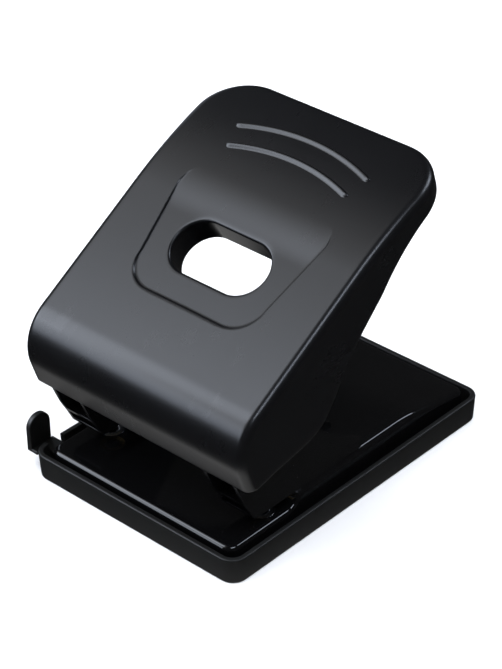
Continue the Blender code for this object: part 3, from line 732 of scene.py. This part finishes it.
def handle_surface(bevel, panel_depth):
    """Rings of the whole shell: window collar, top, bevel, skirt, then the inside back again."""
    rays = handle_rays(bevel)
    outside = handle_zone(rays, bevel, SKIRT_RINGS, 0.0)
    inside = handle_zone(rays, bevel, SKIRT_RINGS, HANDLE_WALL)
    lip = rays[:, 0] > 0.5
    flat = HANDLE_HALF - bevel
    unrolled = flat + bevel * math.pi / 2
    lean = (LIP_TURN - EDGE_ROUND) * np.clip(1 - (rays[:, 1] - EDGE_ROUND) / LIP_REACH, 0, 1)
    lean = np.where(rays[:, 3] > 0, 0, lean)
    start_s = np.where(lip, LIP_TURN, rays[:, 1] + lean - rays[:, 3] * bevel)
    start_x = np.where(lip, rays[:, 2] * flat / unrolled, rays[:, 2] - rays[:, 4] * bevel)
    start = np.stack([start_s, start_x], -1)
    direction = unit(start - [WINDOW_CENTRE, 0])

    def sunk(s):
        return panel_depth * (1 - smooth_step((s - PANEL_FADE[0]) / (PANEL_FADE[1] - PANEL_FADE[0])))

    rings = []

    def lay(plan, depth):
        rings.append(shell_point(plan[:, 0], plan[:, 1], np.broadcast_to(depth, len(plan))))

    hole = window_edge(direction, 0.0)
    rim = window_edge(direction, WINDOW_ROUND)
    for turn in np.radians(np.linspace(90, 0, 4)):
        plan = window_edge(direction, COLLAR_ROUND * (1 - math.cos(turn)))
        lay(plan, COLLAR_DEPTH - COLLAR_ROUND * (1 - math.sin(turn)))
    for depth in np.linspace(COLLAR_DEPTH - RING_STEP, WINDOW_ROUND + RING_STEP, 6):
        lay(hole, depth)
    for turn in np.radians(np.linspace(0, 90, 8)):
        plan = window_edge(direction, WINDOW_ROUND * (1 - math.cos(turn)))
        lay(plan, WINDOW_ROUND * (1 - math.sin(turn)) + sunk(plan[:, 0]))
    outer = panel_edge(direction)
    inner = outer - direction * PANEL_STEP
    for share in np.linspace(0, 1, 15)[1:]:
        plan = rim + (inner - rim) * share
        lay(plan, sunk(plan[:, 0]))
    for share in np.linspace(0, 1, 9)[1:]:
        plan = inner + (outer - inner) * share
        lay(plan, sunk(plan[:, 0]) * (1 - smooth_step(share)))
    for share in np.linspace(0, 1, 46)[1:-1]:
        lay(outer + (start - outer) * share, 0.0)
    rings += outside
    # Upwards along the skirt. The bevel's last ring stands in where the skirt's lowest two meet.
    last = outside[-1]
    up = unit(outside[-2] - last + BEVEL_SHARE * (outside[-SKIRT_RINGS - 1] - last))
    up = np.where(lip[:, None], unit(outside[10] - outside[11]), up)
    out = unit(last - inside[-1])
    turns = np.radians(np.linspace(0, 90, 6))
    for turn in turns[1:]:
        drop, shift = EDGE_ROUND * math.sin(turn), EDGE_ROUND * (1 - math.cos(turn))
        rings.append(last - up * drop - out * shift)
    for turn in turns[:0:-1]:
        drop, shift = EDGE_ROUND * math.sin(turn), EDGE_ROUND * (1 - math.cos(turn))
        rings.append(inside[-1] - up * drop + out * shift)
    rings += inside[::-1]
    skin = window_edge(direction, COLLAR_WALL)
    for share in np.linspace(0, 1, 22)[1:]:
        lay(start + (skin - start) * share, HANDLE_WALL)
    for depth in np.linspace(HANDLE_WALL + RING_STEP, COLLAR_DEPTH, 5):
        lay(skin, depth)
    return np.array(rings)


def rib_surface(apex, half_length, radius, height):
    """A ridge carried along an arc on the handle's top.

    Along the arc x = half_length * u and s = apex - (radius - sqrt(radius^2 - x^2)). Across it, v runs
    from -1 at the front foot through the crest at 0 to 1 at the rear foot: the front is a wide ramp,
    rise = height * cos^2(v pi / 2), and the rear a short drop, rise = height * cos(v pi / 2). Width
    and height shrink to nothing at the ends like a half circle. The underside lies below the
    handle's surface.
    """
    u = np.sin(np.linspace(-1, 1, 141) * math.pi / 2)
    x = half_length * u
    s = apex - (radius - np.sqrt(radius**2 - x**2))
    slope = -x / np.sqrt(radius**2 - x**2)
    across = unit(np.stack([np.ones_like(x), -slope], -1))
    from_end = np.clip((1 - np.abs(u)) * half_length / 2.2, 0, 1)
    shrink = np.sqrt(np.clip(1 - (1 - from_end) ** 2, 0, 1))
    v = np.linspace(-1, 1, 17)
    rise = height * np.where(v < 0, np.cos(v * math.pi / 2) ** 2, np.cos(v * math.pi / 2)) - 0.02
    v = np.concatenate([v, [1, 0, -1]])
    rise = np.concatenate([rise, [-0.6, -0.6, -0.6]])
    reach = np.where(v < 0, RIB_FRONT, RIB_REAR) * v * shrink[:, None]
    lift = np.where(rise[None, :] > 0, rise[None, :] * shrink[:, None], rise[None, :])
    plan_s = s[:, None] + across[:, :1] * reach
    plan_x = x[:, None] + across[:, 1:] * reach
    return shell_point(plan_s, plan_x, -lift)


# Base and tray.


def rounded_ring(low, high, corner, xs, ys, steps=14):
    """Anchors, outward normals and side marks round a rounded rectangle, counter-clockwise.

    A straight stretch's anchor lies on the inner rectangle, and a corner's anchor is its centre.
    """
    left, front = low[0] + corner, low[1] + corner
    right, rear = high[0] - corner, high[1] - corner
    parts = []

    def straight(x, y, normal, mark):
        x, y = np.broadcast_arrays(np.asarray(x, float), np.asarray(y, float))
        parts.append(np.stack([x, y, x * 0 + normal[0], x * 0 + normal[1], x * 0 + mark], -1))

    def corner_arc(x, y, start):
        turn = np.radians(np.linspace(start, start + 90, steps + 1))[1:-1]
        parts.append(np.stack([turn * 0 + x, turn * 0 + y, np.cos(turn), np.sin(turn), turn * 0], -1))

    straight(xs, front, (0, -1), 0)
    corner_arc(right, front, 270)
    straight(right, ys, (1, 0), 1)
    corner_arc(right, rear, 0)
    straight(xs[::-1], rear, (0, 1), 0)
    corner_arc(left, rear, 90)
    straight(left, ys[::-1], (-1, 0), 1)
    corner_arc(left, front, 180)
    return np.concatenate(parts)


def base_height(y):
    """Height of the base's top away from the cove: table, deck, then the ramp to the rear."""
    slope = RAMP_END_DROP / (BASE_HIGH[1] - BASE_FILLET - RAMP_START_Y)
    ease = 6.0
    past = y - RAMP_START_Y
    bend = np.where(np.abs(past) < ease, (past + ease) ** 2 / (4 * ease), np.maximum(past, 0))
    return np.where(y < STOP_Y, TABLE_TOP, DECK_TOP - slope * bend)


def base_stations():
    """(y, z) pairs along the base's top from front to rear, round the cove and the deck's edge."""
    front = BASE_LOW[1] + BASE_CORNER
    rear = BASE_HIGH[1] - BASE_CORNER
    cove = arc((STOP_Y - COVE_RADIUS, TABLE_TOP + COVE_RADIUS), COVE_RADIUS, -90, -11, 16)
    lip_low = cove[-1]
    turn = np.radians(np.linspace(0, 90, 7))[1:]
    width, height = 1.1, DECK_TOP - lip_low[1]
    lip = np.stack([lip_low[0] + width * (1 - np.cos(turn)), lip_low[1] + height * np.sin(turn)], -1)
    table_y = np.linspace(front, cove[0][0] - 1, 20)
    deck_y = np.linspace(lip[-1][0] + 1.2, rear, 64)
    table = np.stack([table_y, table_y * 0 + TABLE_TOP], -1)
    deck = np.stack([deck_y, base_height(deck_y)], -1)
    return np.concatenate([table, cove, lip, deck])


def base_surface():
    """Points and faces of the base's outer skin.

    The middle is a grid over (x, station). Round it lie rings at an inset d from the outline:
    a point is anchor + normal * (corner - d), and within the fillet it drops by
    fillet * (1 - sin a) where d = fillet * (1 - cos a). The last rings are the upright wall.
    """
    stations = base_stations()
    inner = BASE_HIGH[0] - BASE_CORNER
    xs = np.linspace(-inner, inner, 61)
    ys, zs = stations.T
    grid_y, grid_x = np.meshgrid(ys, xs, indexing="ij")
    grid_z = np.repeat(zs[:, None], len(xs), 1)
    middle = np.stack([grid_x, grid_y, grid_z], -1)
    ring = rounded_ring(BASE_LOW, BASE_HIGH, BASE_CORNER, xs, ys)
    sides = ring[:, 4] > 0.5
    side_z = np.zeros(len(ring))
    side_z[sides] = np.concatenate([zs, zs[::-1]])
    rings = []
    quarter = np.radians(np.linspace(90, 0, 10))
    insets = [(d, 0.0) for d in (BASE_CORNER, 4.6, 3.7, 2.9)]
    insets += [(BASE_FILLET * (1 - math.cos(a)), BASE_FILLET * (1 - math.sin(a))) for a in quarter]
    for inset, drop in insets:
        plan = ring[:, :2] + ring[:, 2:4] * (BASE_CORNER - inset)
        top = np.where(sides, side_z, base_height(plan[:, 1]))
        rings.append(np.concatenate([plan, (top - drop)[:, None]], 1))
    wall_top = rings[-1]
    bottom = BASE_LOW[2]
    for share in (0.35, 0.7, 1.0):
        level = wall_top.copy()
        level[:, 2] = wall_top[:, 2] + (bottom - wall_top[:, 2]) * share
        rings.append(level)
    points = np.concatenate([middle.reshape(-1, 3), np.array(rings).reshape(-1, 3)])
    faces = grid_faces(len(ys), len(xs))
    skirt = grid_faces(len(rings), len(ring), close_columns=True) + middle.shape[0] * middle.shape[1]
    return points, np.concatenate([faces, skirt])


def tray_surface():
    """Points and faces of the tray: one wall profile carried round a rounded rectangle.

    The profile is a row of (inset, height) pairs from the middle of the underside, up the outer
    wall, over the rounded rim and down to the floor.
    """
    height = TRAY_HIGH[2]
    profile = [(TRAY_DRAFT + 1.6, 0.0)]
    profile += list(arc((TRAY_DRAFT + 0.8, 0.8), 0.8, 270, 180, 5))
    profile += list(arc((0.7, height - 0.7), 0.7, 180, 90, 6))
    profile += list(arc((TRAY_WALL - 0.5, height - 0.5), 0.5, 90, 0, 5))
    profile += list(arc((TRAY_WALL + TRAY_DRAFT + 1.2, TRAY_FLOOR + 1.2), 1.2, 180, 270, 5))
    xs = np.linspace(TRAY_LOW[0] + TRAY_CORNER, TRAY_HIGH[0] - TRAY_CORNER, 12)
    ys = np.linspace(TRAY_LOW[1] + TRAY_CORNER, TRAY_HIGH[1] - TRAY_CORNER, 16)
    ring = rounded_ring(TRAY_LOW, TRAY_HIGH, TRAY_CORNER, xs, ys)
    rings = []
    for inset, level in profile:
        plan = ring[:, :2] + ring[:, 2:4] * (TRAY_CORNER - inset)
        rings.append(np.concatenate([plan, np.full((len(plan), 1), level)], 1))
    return np.array(rings), tube_faces(len(rings), len(ring))


# Operators.


class PUNCH_OT_handle(bpy.types.Operator):
    """Makes the handle's shell"""

    bl_idname = "punch.handle"
    bl_label = "Handle"

    def execute(self, context):
        sizes = context.scene.punch_sizes
        rings = handle_surface(sizes.bevel / MM, sizes.panel_depth / MM)
        faces = grid_faces(len(rings), rings.shape[1], close_rows=True, close_columns=True)
        piece = add_piece("handle", rings, faces, finishes()["handle"], merge=1e-6, sharp_deg=60)
        place_piece(piece, "handle_shell")
        return {"FINISHED"}


class PUNCH_OT_ribs(bpy.types.Operator):
    """Makes the two raised ribs on the handle's crown"""

    bl_idname = "punch.ribs"
    bl_label = "Ribs"

    def execute(self, context):
        height = context.scene.punch_sizes.rib_height / MM
        for name, apex, half_length, radius in RIBS:
            rings = rib_surface(apex, half_length, radius, height)
            faces = grid_faces(*rings.shape[:2], close_columns=True)
            piece = add_piece("rib_" + name, rings, faces, finishes()["handle"])
            place_piece(piece, "handle_shell", replace=False)
        return {"FINISHED"}


class PUNCH_OT_tray(bpy.types.Operator):
    """Makes the soft chip tray"""

    bl_idname = "punch.tray"
    bl_label = "Chip tray"

    def execute(self, context):
        material = finishes()["tray"]
        piece = add_piece("tray", *tray_surface(), material)
        rail_low, rail_high = node_box("guide_holder_left")
        low = (TRAY_LOW[0] - 2, rail_low[1] + HOLDER_WALL, GUIDE_LOW[2] - GAP)
        high = (TRAY_LOW[0] + TRAY_WALL + 2, rail_high[1] - HOLDER_WALL, TRAY_HIGH[2] + 2)
        carve(piece, [block("notch", low, high, material)])
        place_piece(piece, "chip_tray")
        return {"FINISHED"}


class PUNCH_OT_base(bpy.types.Operator):
    """Makes the enamelled base plate with its die holes"""

    bl_idname = "punch.base"
    bl_label = "Base"

    def execute(self, context):
        material = finishes()["enamel"]
        piece = add_piece("base", *base_surface(), material)
        wall = piece.modifiers.new("wall", "SOLIDIFY")
        wall.thickness = BASE_WALL * MM
        wall.offset = -1
        wall.use_even_offset = True
        cutters = []
        for side in SIDES:
            low, high = node_box("die_" + side)
            profile = ring_profile(0, (high[0] - low[0]) / 2 + 0.1, -8, 8)
            cutters.append(lathe("hole", profile, (low + high) / 2, material, sides=48))
        rail_low, rail_high = node_box("guide_holder_left")
        low = (BASE_LOW[0] - 2, rail_low[1] + HOLDER_WALL, BASE_LOW[2] - 2)
        high = (BASE_LOW[0] + BASE_WALL + 1, rail_high[1] - HOLDER_WALL, GUIDE_LOW[2] + RAIL_THICKNESS + GAP)
        cutters.append(block("slot", low, high, material))
        carve(piece, cutters)
        place_piece(piece, "base_plate")
        return {"FINISHED"}


class PUNCH_OT_brackets(bpy.types.Operator):
    """Makes the two folded brackets with rounded sheet edges"""

    bl_idname = "punch.brackets"
    bl_label = "Brackets"

    def execute(self, context):
        for side in SIDES:
            name = side + "_bracket"
            rounded_copy(name, "bracket_" + side, "bracket", 0.35)
        return {"FINISHED"}


class PUNCH_OT_pins(bpy.types.Operator):
    """Makes the pins, their collars, springs, guide bushes and dies"""

    bl_idname = "punch.pins"
    bl_label = "Pins"

    def execute(self, context):
        materials = finishes()
        for side in SIDES:
            low, high = node_box("punch_pin_" + side)
            centre = upright_axis(low, high)
            collar_low, collar_high = node_box("pin_collar_" + side)
            head = (high[0] - low[0]) / 2
            neck = high[2] - PIN_HEAD
            dome = (head - PIN_ROUND, high[2] - PIN_ROUND)
            profile = [(0, low[2] + PIN_HOLLOW), (PIN_RADIUS, low[2]), (PIN_RADIUS, neck)]
            profile += [(head, neck), (head, dome[1]), *arc(dome, PIN_ROUND, 15, 90, 5), (0, high[2])]
            pin = lathe("pin_" + side, profile, centre, materials["steel"])
            place_piece(soften(pin, 0.12, 2), "punch_pin_" + side)
            outer = (collar_high[0] - collar_low[0]) / 2
            ring = ring_profile(BORE_RADIUS, outer, collar_low[2], collar_high[2])
            collar = lathe("collar_" + side, ring, centre, materials["steel"])
            place_piece(soften(collar, 0.25), "pin_collar_" + side)
            self.add_bush_and_die(side, centre, materials)
            self.add_spring(side, centre, materials)
        return {"FINISHED"}

    def add_bush_and_die(self, side, centre, materials):
        low, high = node_box("guide_bush_" + side)
        flange = (high[0] - low[0]) / 2
        body = flange - BUSH_FLANGE
        shoulder = high[2] - BUSH_FLANGE
        profile = [(BORE_RADIUS, low[2]), (body, low[2]), (body, shoulder), (flange, shoulder)]
        profile += [(flange, high[2]), (BORE_RADIUS, high[2])]
        bush = lathe("bush_" + side, profile, centre, materials["brass"])
        place_piece(soften(bush, 0.2), "guide_bush_" + side)
        low, high = node_box("die_" + side)
        outer = (high[0] - low[0]) / 2
        profile = ring_profile(BORE_RADIUS, outer, low[2], high[2])
        die = lathe("die_ring_" + side, profile, centre, materials["steel"])
        place_piece(soften(die, 0.15), "die_" + side)

    def add_spring(self, side, centre, materials):
        """A round wire round a helix: radius * (cos, sin) of the turn, rising evenly but flat at both
        ends; across the wire a second circle in the outward and upward directions."""
        low, high = node_box("return_spring_" + side)
        radius = (high[0] - low[0]) / 2 - SPRING_WIRE
        t = np.linspace(0, 1, int(SPRING_TURNS * 36) + 1)
        turn = 2 * np.pi * SPRING_TURNS * t
        dead = 0.75 / SPRING_TURNS
        rise = np.clip((t - dead) / (1 - 2 * dead), 0, 1)
        level = low[2] + SPRING_WIRE + (high[2] - low[2] - 2 * SPRING_WIRE) * rise
        round_wire = np.linspace(0, 2 * np.pi, 12, endpoint=False)
        reach = radius + SPRING_WIRE * np.cos(round_wire)
        points = np.stack(
            [
                centre[0] + np.cos(turn)[:, None] * reach,
                centre[1] + np.sin(turn)[:, None] * reach,
                level[:, None] + SPRING_WIRE * np.sin(round_wire),
            ],
            -1,
        )
        faces = tube_faces(len(t), len(round_wire))
        spring = add_piece("spring_" + side, points, faces, materials["spring"])
        place_piece(spring, "return_spring_" + side)
        length = high[2] - low[2]
        travel = joint_named("pin_" + side + "_slide")["range_m"][1] / MM
        1 - travel / length
        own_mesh(spring)


class PUNCH_OT_rivets(bpy.types.Operator):
    """Makes the rivets that hold the brackets to the base"""

    bl_idname = "punch.rivets"
    bl_label = "Rivets"

    def execute(self, context):
        for side in SIDES:
            for end in ("front", "rear"):
                node = "rivet_" + side + "_" + end
                low, high = node_box(node)
                centre = upright_axis(low, high)
                head = (high[0] - low[0]) / 2
                seat = high[2] - RIVET_HEAD
                edge = 0.25
                turn = np.linspace(0, 1.5, 9)
                rise = seat + edge + (RIVET_HEAD - edge) * np.cos(turn)
                profile = [*zip(head * np.sin(turn), rise), (head, seat), (RIVET_RADIUS, seat)]
                clench = low[2] + RIVET_CLENCH
                profile += [(RIVET_RADIUS, clench), (head * 0.9, clench), (head * 0.9, low[2] + 0.2)]
                profile += [(head * 0.8, low[2]), (0, low[2])]
                rivet = lathe("stud_" + side + "_" + end, profile, centre, finishes()["rivet"], sides=40)
                place_piece(rivet, node)
        return {"FINISHED"}


class PUNCH_OT_axle(bpy.types.Operator):
    """Makes the hinge axle, its clips and the handle's pivot bushes"""

    bl_idname = "punch.axle"
    bl_label = "Axle"

    def execute(self, context):
        materials = finishes()
        low, high = node_box("hinge_axle")
        radius = (high[2] - low[2]) / 2
        profile = ring_profile(0, radius, low[0], high[0])
        centre = (0, HINGE[1], HINGE[2])
        axle = lathe("axle", profile, centre, materials["steel"], axis="X", sides=48)
        place_piece(soften(axle, 0.4), "hinge_axle")
        for side in SIDES:
            low, high = node_box("axle_clip_" + side)
            outer = (high[2] - low[2]) / 2
            profile = ring_profile(radius + 0.1, outer, low[0], high[0])
            clip = lathe("clip_" + side, profile, centre, materials["spring"], axis="X", sides=48)
            place_piece(soften(clip, 0.2), "axle_clip_" + side)
            rounded_copy("pivot_" + side, "pivot_bush_" + side, "nylon", 0.3)
            rounded_copy("foot_" + side, "press_foot_" + side, "nylon", 0.4)
        return {"FINISHED"}


class PUNCH_OT_guide(bpy.types.Operator):
    """Makes the paper guide and the two clips that it slides in"""

    bl_idname = "punch.guide"
    bl_label = "Paper guide"

    def execute(self, context):
        material = finishes()["nylon"]
        holder_low, holder_high = node_box("guide_holder_left")
        rail_middle = (holder_low[1] + holder_high[1]) / 2
        rail_half = (holder_high[1] - holder_low[1]) / 2 - (HOLDER_WALL + GAP)
        tab_left = GUIDE_LOW[0]
        tab_right = tab_left + TAB_THICKNESS
        top = GUIDE_LOW[2] + RAIL_THICKNESS
        radius = min((rail_middle + rail_half - GUIDE_LOW[1]) / 2, TAB_WIDTH / 2)
        tab_y = GUIDE_LOW[1] + radius
        outline = [(tab_y + radius, GUIDE_LOW[2])]
        outline += list(arc((tab_y, GUIDE_HIGH[2] - radius), radius, 0, 180, 32))
        outline += [(tab_y - radius, GUIDE_LOW[2])]
        parts = [
            slab("tab", outline, tab_left, tab_right, material),
            block(
                "rail",
                (tab_right - 0.6, rail_middle - rail_half, GUIDE_LOW[2]),
                (GUIDE_HIGH[0], rail_middle + rail_half, top),
                material,
            ),
            block(
                "toe",
                (tab_right - 0.7, GUIDE_LOW[1], GUIDE_LOW[2] + 0.01),
                (TRAY_LOW[0] - GAP, rail_middle, top - 0.01),
                material,
            ),
        ]
        guide = joined("guide", parts)
        place_piece(soften(guide, 0.45, 4), "paper_guide")
        for side in SIDES:
            rounded_copy("holder_" + side, "guide_holder_" + side, "nylon", 0.2)
        return {"FINISHED"}


# Stage.

CAMERA_PLACE = (0.52995, -0.57140, 0.56741)
CAMERA_RIGHT = (0.7373, 0.6754, -0.0151)
CAMERA_FORWARD = (-0.5697, 0.6096, -0.5512)
SENSOR_WIDTH = 36.0
LENS = 129.53
AIM = Vector((0.0, 0.0, 0.06))
# Lights: name, direction from the punch, distance, the axis their length turns to, size across and
# lengthways, brightness, seen in gloss.
LIGHTS = (
    ("key", (-0.59, -0.46, 0.66), 1.1, (0, 1, 0), (0.85, 0.46), 3.9, True),
    ("front", (-0.63, -0.70, 0.33), 1.1, (0, 0, 1), (0.85, 0.40), 3.5, True),
    ("edge", (0.47, -0.20, 0.75), 1.2, (0, 1, 0), (0.20, 0.6), 9.0, True),
    ("rim", (0.30, 0.62, 0.72), 1.2, (0, 1, 0), (0.25, 0.8), 6.0, True),
    ("card", (-0.80, 0.30, 0.38), 1.1, (0, 1, 0), (0.5, 0.3), 1.0, True),
    ("fill", (0.1, -0.1, 1.0), 2.4, (0, 1, 0), (3.2, 3.2), 3.2, False),
)
# Glows of the surroundings: direction, cosines where it starts and is full, brightness.
GLOWS = (
    ((0, 0, -1), 0.72, 0.82, 0.68),
    ((-0.59, -0.43, 0.68), 0.82, 0.99, 1.3),
)
GLOOM = 0.03
# The lamps seen in gloss are slightly cool.
COOL = (0.88, 0.97, 1.14)


def add_light(name, direction, distance, axis, size, brightness, glossy):
    """A rectangular lamp whose face gives the same brightness whatever its size."""
    lamp = bpy.data.lights.new(name, "AREA")
    lamp.shape = "RECTANGLE"
    lamp.size, lamp.size_y = size
    lamp.color = COOL if glossy else (1, 1, 1)
    lamp.energy = brightness * math.pi * size[0] * size[1]
    light = bpy.data.objects.new(name, lamp)
    out = Vector(direction).normalized()
    lengthways = (Vector(axis) - out * out.dot(Vector(axis))).normalized()
    turned = Matrix((lengthways.cross(out), lengthways, out)).transposed()
    light.matrix_world = Matrix.Translation(AIM + out * distance) @ turned.to_4x4()
    light.visible_glossy = glossy
    bpy.context.scene.collection.objects.link(light)


def sweep_floor():
    """A round floor that curves up into a wall: radius and height follow a quarter circle."""
    bend = np.radians(np.linspace(0, 90, 13))
    radius = np.concatenate([[0, 300, 900, 2000], 3500 + 1500 * np.sin(bend), [5000]])
    height = np.concatenate([[0, 0, 0, 0], 1500 - 1500 * np.cos(bend), [3500]])
    turn = np.linspace(0, 2 * np.pi, 96, endpoint=False)
    rings = np.stack(
        [
            radius[:, None] * np.cos(turn),
            radius[:, None] * np.sin(turn),
            np.repeat(height[:, None], len(turn), 1),
        ],
        -1,
    )
    return rings, grid_faces(len(radius), len(turn), close_columns=True)


class PUNCH_OT_stage(bpy.types.Operator):
    """Makes the floor, the lights, the surroundings and the camera"""

    bl_idname = "punch.stage"
    bl_label = "Stage"

    def execute(self, context):
        scene = context.scene
        graph = Graph("punch_floor")
        cloud = graph.noise(3, 2)
        colour = scene.punch_finish.floor
        graph.finish(
            Base_Color=graph.blend(cloud, rgba(colour, 0.99), rgba(colour)), Roughness=0.85,
            Specular_IOR_Level=0.2,
        )
        rings, faces = sweep_floor()
        floor = add_piece("floor", rings, faces, graph.owner)
        floor.visible_glossy = False
        for light in LIGHTS:
            add_light(*light)
        world = Graph("surroundings", bpy.data.worlds, "Background")
        where = world.node("ShaderNodeTexCoord", output="Generated")
        total = GLOOM
        for direction, start, full, brightness in GLOWS:
            ends = {0: where, 1: Vector(direction).normalized()}
            cosine = world.node("ShaderNodeVectorMath", {"operation": "DOT_PRODUCT"}, ends, "Value")
            total = total + world.ramp(cosine, start, full, 0.0, brightness)
        scene.world = world.finish(Color=total)
        scene.view_settings.view_transform = "Standard"
        lens = bpy.data.cameras.new("camera")
        lens.sensor_width = SENSOR_WIDTH
        lens.sensor_fit = "VERTICAL"
        lens.sensor_height = SENSOR_WIDTH
        lens.lens = LENS
        lens.clip_start = 0.02
        camera = bpy.data.objects.new("camera", lens)
        right = Vector(CAMERA_RIGHT).normalized()
        forward = Vector(CAMERA_FORWARD).normalized()
        up = right.cross(forward).normalized()
        right = forward.cross(up)
        turned = Matrix((right, up, -forward)).transposed()
        camera.matrix_world = Matrix.Translation(CAMERA_PLACE) @ turned.to_4x4()
        scene.collection.objects.link(camera)
        scene.camera = camera
        return {"FINISHED"}


OPERATORS = (
    PUNCH_OT_handle,
    PUNCH_OT_ribs,
    PUNCH_OT_tray,
    PUNCH_OT_base,
    PUNCH_OT_brackets,
    PUNCH_OT_pins,
    PUNCH_OT_rivets,
    PUNCH_OT_axle,
    PUNCH_OT_guide,
    PUNCH_OT_stage,
)


class PUNCH_PT_panel(bpy.types.Panel):
    """Lists the pieces and the sizes and colours they take"""

    bl_idname = "PUNCH_PT_panel"
    bl_label = "Desk punch"
    bl_space_type = "VIEW_3D"
    bl_region_type = "UI"
    bl_category = "Punch"

    def draw(self, context):
        for settings in (context.scene.punch_sizes, context.scene.punch_finish):
            for name in settings.__annotations__:
                self.layout.prop(settings, name)
        for operator in OPERATORS:
            self.layout.operator(operator.bl_idname)


CLASSES = (SizeSettings, FinishSettings, *OPERATORS, PUNCH_PT_panel)


def register():
    for item in CLASSES:
        bpy.utils.register_class(item)
    bpy.types.Scene.punch_sizes = PointerProperty(type=SizeSettings)
    bpy.types.Scene.punch_finish = PointerProperty(type=FinishSettings)


def unregister():
    del bpy.types.Scene.punch_sizes
    del bpy.types.Scene.punch_finish
    for item in reversed(CLASSES):
        bpy.utils.unregister_class(item)


def main():
    register()
    for operator in OPERATORS:
        group, name = operator.bl_idname.split(".")
        getattr(getattr(bpy.ops, group), name)()


if __name__ == "__main__":
    main()
